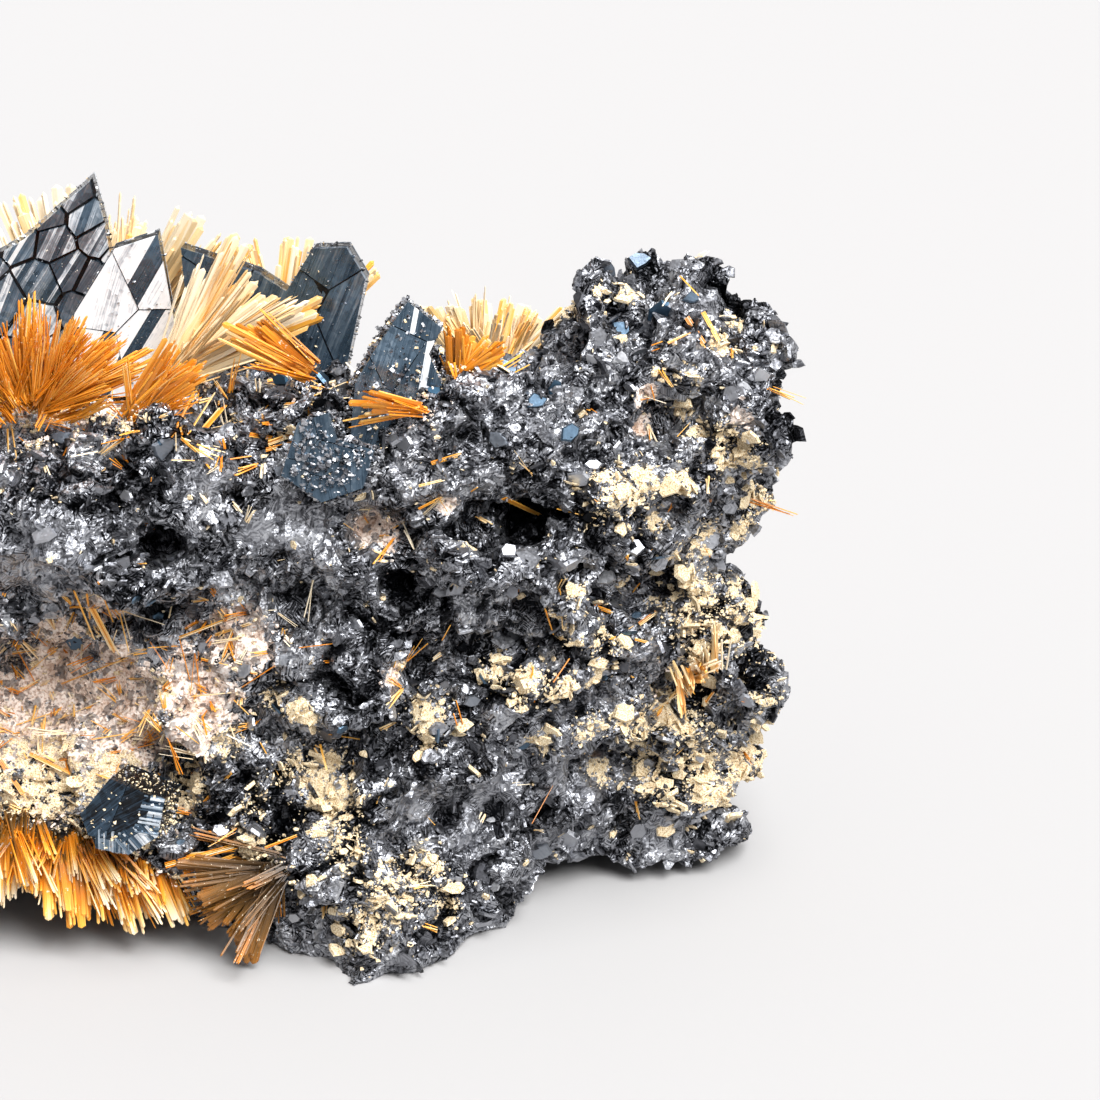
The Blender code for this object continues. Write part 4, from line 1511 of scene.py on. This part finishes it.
    def dress_loose(self, surface: Surface, grounds: GroundMap, view: PhotoView) -> None:
        """Lays the loose needles: those that the photograph shows, and chips all over.

        Args:
            surface: The roughened rock.
            grounds: Where the grounds lie on it.
            view: The photograph's camera.
        """
        dice = np.random.default_rng(41)
        pile = Pile("loose_rutile")
        roots, aims, lengths, widths = [], [], [], []
        for u0, v0, u1, v1, width in LOOSE_NEEDLES:
            ends = [surface.under(view, u0, v0), surface.under(view, u1, v1)]
            if None in ends:
                continue
            (a, na), (b, nb) = ends
            a, b = a + na * self.lift * MM, b + nb * self.lift * MM
            strands = max(1, round(width / self.strand))
            spot = (b - a).cross(na).normalized()
            for i in range(strands):
                offset = spot * (i - (strands - 1) / 2) * self.strand * MM
                roots.append(tuple(a + offset))
                aims.append(tuple(b - a))
                lengths.append((b - a).length * dice.uniform(0.85, 1.05))
                widths.append(0.075 * MM if strands > 1 else width / 2 * MM)
        hues = dice.uniform(0.32, 0.85, len(roots))
        self.lay(pile, np.array(roots), np.array(aims), np.array(lengths), np.array(widths), hues)
        self.add_chips(pile, surface, grounds, dice)
        pile.finish(self.material, Slot.RUTILE)

    def add_chips(self, pile: Pile, surface: Surface, grounds: GroundMap,
                  dice: np.random.Generator) -> None:
        """Scatters short needles, which lie in small parallel groups, most of them on the gangue.

        Args:
            pile: Where the needles go.
            surface: The roughened rock.
            grounds: Where the grounds lie on it.
            dice: The source of chance.
        """
        groups = self.chip_groups
        weight = 0.25 + np.clip(0.3 - surface.normals[:, 1], 0, 1)
        weight *= 0.13 + 2.6 * np.minimum(grounds.share(Ground.GANGUE, surface.middles), 0.8)
        crest = (surface.middles[:, 2] > 42 * MM) & (surface.middles[:, 0] < 8 * MM)
        weight *= (surface.middles[:, 2] > self.chip_floor * MM) * (1 + 9 * crest)
        spots, normals = surface.scatter(dice, groups, weight)
        along, beside = sides_of(normals)
        turn = dice.uniform(0, math.tau, (groups, 1))
        rise = normals * dice.uniform(-0.1, 0.5, (groups, 1))
        aims = along * np.cos(turn) + beside * np.sin(turn) + rise
        reach = dice.uniform(0.4, 1.0, groups) ** 2 * self.chip_length
        tones = dice.uniform(0.3, 0.95, groups)
        chosen = np.repeat(np.arange(groups), dice.integers(1, 6, groups))
        count = len(chosen)
        places = spots[chosen] + normals[chosen] * 0.25 * MM + dice.normal(size=(count, 3)) * 0.12 * MM
        aims = unit(aims)[chosen] + dice.normal(size=(count, 3)) * 0.08
        lengths = reach[chosen] * dice.uniform(0.5, 1.0, count) * MM
        widths = dice.uniform(0.035, 0.1, count) * MM
        hues = np.clip(tones[chosen] + dice.normal(size=count) * 0.06, 0, 1)
        self.lay(pile, places, aims, lengths, widths, hues)


@dataclass(frozen=True)
class PlateStyle:
    """How the faces of one hematite plate are broken and striated. Lengths in millimetres."""

    node: str
    cells: int
    gap: float
    tones: tuple  # of the dark bands
    # Share of the bands painted near-white as glare.
    bright: float  # share of bright bands
    pitch: tuple = (0.2, 0.7)  # width of the growth bands
    lines: float = 60.0  # degrees of the growth lines from the face's run
    tilt: float = 2.0  # degrees that a cell may lean
    thickness: float = 0.25
    comb: tuple | None = None  # the side of the face that ends in a comb
    frost: int = 300
    sprinkled: float = 0.28  # density of the frost on the face, over that on its rim
    coarsest: float = 0.24  # radius of the largest frost crystal
    powdered: float = 0.12  # share of the frost that is coated with gangue
    seed: int = 1


# The fifth value of each style is its share of bands painted near-white as glare.
PLATE_STYLES = [
    PlateStyle("hematite_plate_tall", 38, 0.34, (0.3, 0.8), 0.14, lines=62, tilt=7.0, thickness=0.4,
               frost=700, seed=4),
    PlateStyle("hematite_plate_bright", 4, 0.12, (0.3, 0.4), 0.86, pitch=(0.5, 1.3), lines=66, frost=260,
               seed=6),
    PlateStyle("hematite_plate_broad", 9, 0.16, (0.24, 0.46), 0.03, lines=68, tilt=5.0, frost=420, seed=8),
    PlateStyle("hematite_plate_outer", 14, 0.4, (0.2, 0.6), 0.35, tilt=6.0, thickness=0.35, seed=10),
    PlateStyle("hematite_blade_front", 7, 0.08, (0.3, 0.46), 0.03, lines=75, tilt=5.0, frost=1500,
               sprinkled=0.5, coarsest=0.42, seed=12),
    PlateStyle("hematite_blade_lower", 6, 0.08, (0.3, 0.48), 0.08, lines=100, tilt=5.0, frost=2300,
               sprinkled=0.9, coarsest=0.45, powdered=0.02, seed=14),
    PlateStyle("hematite_crystal_low", 2, 0.05, (0.02, 0.16), 0.0, pitch=(0.8, 2.0), lines=35, tilt=1.5,
               comb=(0.8, -0.6), frost=700, powdered=0.7, seed=16),
]


@dataclass
class PlateDressing:
    """Growth bands, cracks and a comb edge on the faces of a CAD plate."""

    style: PlateStyle
    tile_finish: bpy.types.Material
    core_finish: bpy.types.Material
    sunk: float = 0.3 * MM  # how far the bands reach into the plate
    # Tones of the bands painted near-white as glare.
    glare_tones: tuple = (0.78, 1.1)
    comb_depth: float = 1.1 * MM
    tooth: tuple = (0.09, 0.22)  # widths, depths and heights of the comb's teeth, in millimetres
    tooth_depth: tuple = (1.0, 1.9)
    tooth_height: tuple = (0.22, 0.5)
    tooth_tones: tuple = (0.2, 0.5, 0.68, 0.78)

    def faces(self) -> list[tuple[list[Vector], Matrix]]:
        """Finds the plate's front and back.

        Returns:
            For each, the outline in the face's plane, and what takes that plane to the world.
        """
        build = bmesh.new()
        build.from_mesh(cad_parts[self.style.node].data)
        bmesh.ops.remove_doubles(build, verts=build.verts, dist=0.01 * MM)
        flat_enough = math.radians(1.5)
        bmesh.ops.dissolve_limit(build, angle_limit=flat_enough, verts=build.verts, edges=build.edges)
        found = []
        for sense in (-1, 1):
            facing = [face for face in build.faces if face.normal.y * sense > 0.6]
            face = max(facing, key=lambda item: item.calc_area())
            normal = face.normal.copy()
            corners = [corner.co.copy() for corner in face.verts]
            side = Vector((0, 0, 1)).cross(normal).normalized()
            origin = sum(corners, Vector()) / len(corners)
            turn = Matrix((side, normal.cross(side), normal)).transposed().to_4x4()
            base = Matrix.Translation(origin) @ turn
            inverse = base.inverted()
            flat = [inverse @ vertex.co for vertex in build.verts]
            rim = [point.xy for point in flat if -1.0 * MM < point.z < -0.02 * MM]
            outline = []
            for corner in corners:
                here = (inverse @ corner).xy
                outer = [point for point in rim if point.length > here.length + 0.2 * MM]
                close = min(outer, key=lambda point: (point - here).length, default=here)
                outline.append(close if (close - here).length < 2.2 * MM else here)
            found.append((outline, base))
        build.free()
        return found

    def cells(self, outline: list[Vector], luck: random.Random) -> list[list[Vector]]:
        """Cuts an outline into irregular cells with cracks between them.

        Args:
            outline: The outline's corners.
            luck: The source of chance.

        Returns:
            The corners of each cell.
        """
        across = (min(corner.x for corner in outline), max(corner.x for corner in outline))
        upward = (min(corner.y for corner in outline), max(corner.y for corner in outline))
        seeds = []
        for _ in range(self.style.cells):
            tries = [Vector((luck.uniform(*across), luck.uniform(*upward))) for _ in range(5)]
            room = [min([(spot - other).length for other in seeds] + [1.0]) for spot in tries]
            seeds.append(tries[room.index(max(room))])
        found = []
        for seed in seeds:
            cell = outline
            for other in seeds:
                if other is not seed and len(cell) > 2:
                    away = (other - seed).normalized()
                    gap = self.style.gap * MM * luck.uniform(0.4, 1.3)
                    cell = cut(cell, away, away.dot((other + seed) / 2) - gap / 2)
            if len(cell) > 2:
                found.append(cell)
        return found

    def bands(self, cell: list[Vector], turn: float, luck: random.Random) -> list[list[Vector]]:
        """Cuts a cell into bands along its growth lines.

        Args:
            cell: The cell's corners.
            turn: Direction of the growth lines, in radians.
            luck: The source of chance.

        Returns:
            The corners of each band.
        """
        across = Vector((-math.sin(turn), math.cos(turn)))
        reach = [across.dot(corner) for corner in cell]
        at = min(reach)
        found = []
        while at < max(reach):
            end = at + luck.uniform(*self.style.pitch) * MM
            band = cut(cut(cell, across, end), -across, -at)
            if len(band) > 2:
                found.append(band)
            at = end
        return found

    def add_prism(self, build: bmesh.types.BMesh, corners: list[Vector], base: Matrix, low: float,
                  high: float, lean: Vector, middle: Vector, tone: float, turn: float) -> None:
        """Adds one closed prism to the plate's face.

        Args:
            build: The mesh in the making.
            corners: Outline in the face's plane.
            base: Takes the face's plane to the world.
            low: Height of its lower side over the face.
            high: Height of its upper side.
            lean: Slope of its upper side.
            middle: Where its upper side is that high.
            tone: Its brightness.
            turn: Direction of its growth lines, in radians.
        """
        layers = [build.verts.layers.float[name] for name in ("tone", "across", "along")]
        run = Vector((math.cos(turn), math.sin(turn)))
        rings = []
        for level in (low, high):
            ring = []
            for corner in corners:
                rise = level + (lean.dot(corner - middle) if level == high else 0)
                vertex = build.verts.new(base @ Vector((corner.x, corner.y, max(rise, low))))
                vertex[layers[0]] = tone
                vertex[layers[1]] = corner.dot(Vector((-run.y, run.x))) / MM + tone * 40
                vertex[layers[2]] = corner.dot(run) / MM
                ring.append(vertex)
            rings.append(ring)
        build.faces.new(rings[1])
        build.faces.new(reversed(rings[0]))
        for i in range(len(corners)):
            j = (i + 1) % len(corners)
            build.faces.new((rings[0][i], rings[0][j], rings[1][j], rings[1][i]))

    def add_comb(self, build: bmesh.types.BMesh, outline: list[Vector], base: Matrix,
                 luck: random.Random) -> list[Vector]:
        """Adds the comb of silver ridges along one side of the face.

        Args:
            build: The mesh in the making.
            outline: The face's outline.
            base: Takes the face's plane to the world.
            luck: The source of chance.

        Returns:
            The outline that the comb leaves.
        """
        aim = Vector(self.style.comb)
        rest = outline
        for here, there in zip(outline, outline[1:] + outline[:1]):
            edge = (there - here).normalized()
            out = Vector((edge.y, -edge.x))
            out = out if out.dot(here + there) > 0 else -out
            if out.dot(aim) < 0.35:
                continue
            limit = out.dot(here)
            rest = cut(rest, out, limit - self.comb_depth)
            at, end = sorted((edge.dot(here), edge.dot(there)))
            while at < end:
                step = luck.uniform(*self.tooth) * MM
                tooth = cut(cut(outline, edge, at + step), -edge, -at)
                tooth = cut(tooth, -out, -(limit - luck.uniform(*self.tooth_depth) * MM))
                if len(tooth) > 2:
                    middle = out * (limit - 1.4 * MM)
                    turn = math.atan2(out.y, out.x)
                    high = luck.uniform(*self.tooth_height) * MM
                    tone = luck.choice(self.tooth_tones)
                    self.add_prism(build, tooth, base, -0.5 * MM, high, out * -0.35, middle, tone, turn)
                at += step
        return rest

    def build(self) -> None:
        """Dresses the plate's two faces, and gives the CAD plate its finish."""
        style = self.style
        luck = random.Random(style.seed)
        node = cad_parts[style.node]
        node.data.materials.clear()
        node.data.materials.append(self.core_finish)
        build = bmesh.new()
        for name in ("tone", "across", "along"):
            build.verts.layers.float.new(name)
        slope = math.tan(math.radians(style.tilt))
        for outline, base in self.faces():
            if style.comb:
                outline = self.add_comb(build, outline, base, luck)
            for cell in self.cells(outline, luck):
                turn = math.radians(style.lines + luck.uniform(-8, 8))
                lean = Vector((luck.uniform(-slope, slope), luck.uniform(-slope, slope)))
                middle = sum(cell, Vector((0, 0))) / len(cell)
                high = style.thickness * MM * luck.uniform(0.7, 1.2)
                mood = luck.uniform(0.5, 1.5)
                for band in self.bands(cell, turn, luck):
                    tone = luck.uniform(*style.tones)
                    # Painted glare: some bands are drawn near-white.
                    if luck.random() < style.bright * mood:
                        tone = luck.uniform(*self.glare_tones)
                    level = high + luck.uniform(-0.05, 0.05) * MM
                    self.add_prism(build, band, base, -self.sunk, level, lean, middle, tone, turn)
        mesh = bpy.data.meshes.new(style.node + "_growth")
        build.normal_update()
        build.to_mesh(mesh)
        build.free()
        mesh.materials.append(self.tile_finish)
        show(bpy.data.objects.new(mesh.name, mesh), Slot.CRYSTAL)


@dataclass
class Frost:
    """Tiny crystals and crumbs on the rims and faces of the hematite plates."""

    styles: list[PlateStyle]
    material: bpy.types.Material

    def build(self) -> None:
        """Makes the frost of all plates as one piece."""
        dice = np.random.default_rng(53)
        pile = Pile("crystal_frost")
        for style in self.styles:
            surface = Surface(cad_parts[style.node].data)
            front = surface.normals[np.argmax(surface.areas * (surface.normals[:, 1] < 0))]
            weight = np.where(np.abs(surface.normals @ front) > 0.8, style.sprinkled, 1.0)
            count = style.frost
            sort = FlakeSort(count, 0.07, style.coarsest, thickness=(0.3, 0.8), sides=4, lie=0.6,
                             stray=1.4, slender=0.3)
            places, normals = surface.scatter(dice, count, weight)
            lift = np.where(np.abs(normals @ front) > 0.8, 0.3, 0.05) * MM
            marks = {
                "tone": dice.choice((0.1, 0.45, 0.8, 1.15), count),
                "cover": (dice.random(count) < style.powdered).astype(float),
                "gangue": 0.0,
                "smooth": 0.6,
                "pit": 0.0,
                "blue": 0.0,
            }
            pile.add(sort.grow(places + normals * lift[:, None], normals, dice), sort.form(), **marks)
        pile.finish(self.material, Slot.CRYSTAL)


@dataclass(frozen=True)
class Lamp:
    """A distant soft light."""

    name: str
    direction: tuple  # from the specimen towards the light
    angle: float  # apparent size, in degrees
    strength: float


@dataclass(frozen=True)
class Studio:
    """A pale floor, a sky that is bright above and dark in front, and two soft lights."""

    floor_size: float = 6.0  # metres
    floor_colour: tuple = (0.376, 0.372, 0.372, 1)
    lamps: tuple = (
        Lamp("key", (0.46, -0.60, 1.0), 40.0, 6.0),
        Lamp("top", (0.15, -0.10, 1.0), 24.0, 1.1),
    )
    sky_dark: tuple = (0.15, 0.152, 0.156, 1)
    sky_bright: tuple = (0.92, 0.895, 0.90, 1)

    def build(self) -> None:
        """Makes the floor, the lights and the world."""
        self.make_floor()
        for lamp in self.lamps:
            data = bpy.data.lights.new(lamp.name, "SUN")
            data.angle = math.radians(lamp.angle)
            data.energy = lamp.strength
            light = bpy.data.objects.new(lamp.name, data)
            light.rotation_euler = Vector(lamp.direction).to_track_quat("Z", "Y").to_euler()
            put_in_scene(light)
        self.make_world()
        bpy.context.scene.view_settings.view_transform = "Standard"

    def make_floor(self) -> None:
        """Makes the surface that the specimen stands on."""
        build = bmesh.new()
        bmesh.ops.create_grid(build, x_segments=8, y_segments=8, size=self.floor_size / 2)
        mesh = bpy.data.meshes.new("floor")
        build.to_mesh(mesh)
        build.free()
        material, wires, shader = new_finish("pale_floor")
        wires.feed(shader, {"Base Color": self.floor_colour, "Roughness": 0.9})
        mesh.materials.append(material)
        floor = bpy.data.objects.new("floor", mesh)
        floor.location.z = -0.02 * MM
        put_in_scene(floor)

    def make_world(self) -> None:
        """Makes a sky that is bright overhead and behind, and dark in front near the horizon."""
        world = bpy.data.worlds.new("studio")
        world.use_nodes = True
        bpy.context.scene.world = world
        wires = Wiring(world.node_tree)
        background = world.node_tree.nodes["Background"]
        direction = wires.add("ShaderNodeTexCoord").outputs["Generated"]
        parts = wires.add("ShaderNodeSeparateXYZ", {0: direction})
        above = wires.math("MULTIPLY", wires.step(parts.outputs["Z"], 0.15, 0.95), 0.8)
        behind = wires.math("MULTIPLY", wires.step(parts.outputs["Y"], 0.0, 0.9), 0.15)
        level = wires.math("ADD", above, behind, clamp=True)
        sky = wires.colour_mix(level, self.sky_dark, self.sky_bright)
        world.node_tree.links.new(sky, background.inputs["Color"])


def main() -> None:
    """Builds the specimen's pieces in order, and the studio round them."""
    logging.basicConfig(level=logging.INFO, format="%(message)s")
    view = PhotoView()
    view.set_camera()
    effects = Effects()
    hematite = HematiteFinish().build(effects)
    rutile = RutileFinish().build(effects)
    tiles = CrystalFinish("crystal_faces").build(effects)
    core_tones = ((0.0, (0.015, 0.016, 0.018, 1)), (1.0, (0.10, 0.11, 0.125, 1)))
    core = CrystalFinish("crystal_cores", tones=core_tones).build(effects)

    rock = RockSkin(Relief())
    skin = rock.build()
    grounds = GroundMap(Surface(skin.data), view)
    rock.roughen(skin, grounds)
    skin.data.materials.append(hematite)
    show(skin, Slot.ROCK, Slot.ROCK.value)
    surface = Surface(skin.data)

    crust = FlakeCrust(surface, grounds, hematite)
    coarse = FlakeSort(4800, 0.45, 1.2, cluster=3.4, sides=6, slender=0.35)
    small = FlakeSort(10000, 0.14, 0.36, cluster=1.8, slender=0.3)
    cream = FlakeSort(8500, 0.07, 0.27, thickness=(0.35, 0.8), lie=1.2, sides=4, ground=Ground.CREAM)
    pink = FlakeSort(3800, 0.1, 0.4, thickness=(0.4, 0.9), lie=0.8, sides=4, ground=Ground.GANGUE)
    crust.build("hematite_flakes_coarse", 12, coarse)
    crust.build("hematite_flakes_fine", 13, FlakeSort(9000, 0.2, 0.5, slender=0.3))
    crust.build("hematite_flakes_small", 14, small)
    crust.build("gangue_crumbs", 15, cream, pink)
    crust.build_flat_crystals(view)
    crust.build_root_crumbs(SPRAYS)

    for style in PLATE_STYLES:
        PlateDressing(style, tiles, core).build()
    Frost(PLATE_STYLES, hematite).build()
    needles = NeedleMaker(rutile)
    for spray in SPRAYS:
        needles.dress_spray(spray)
    needles.dress_loose(surface, grounds, view)
    Studio().build()


if __name__ == "__main__":
    main()
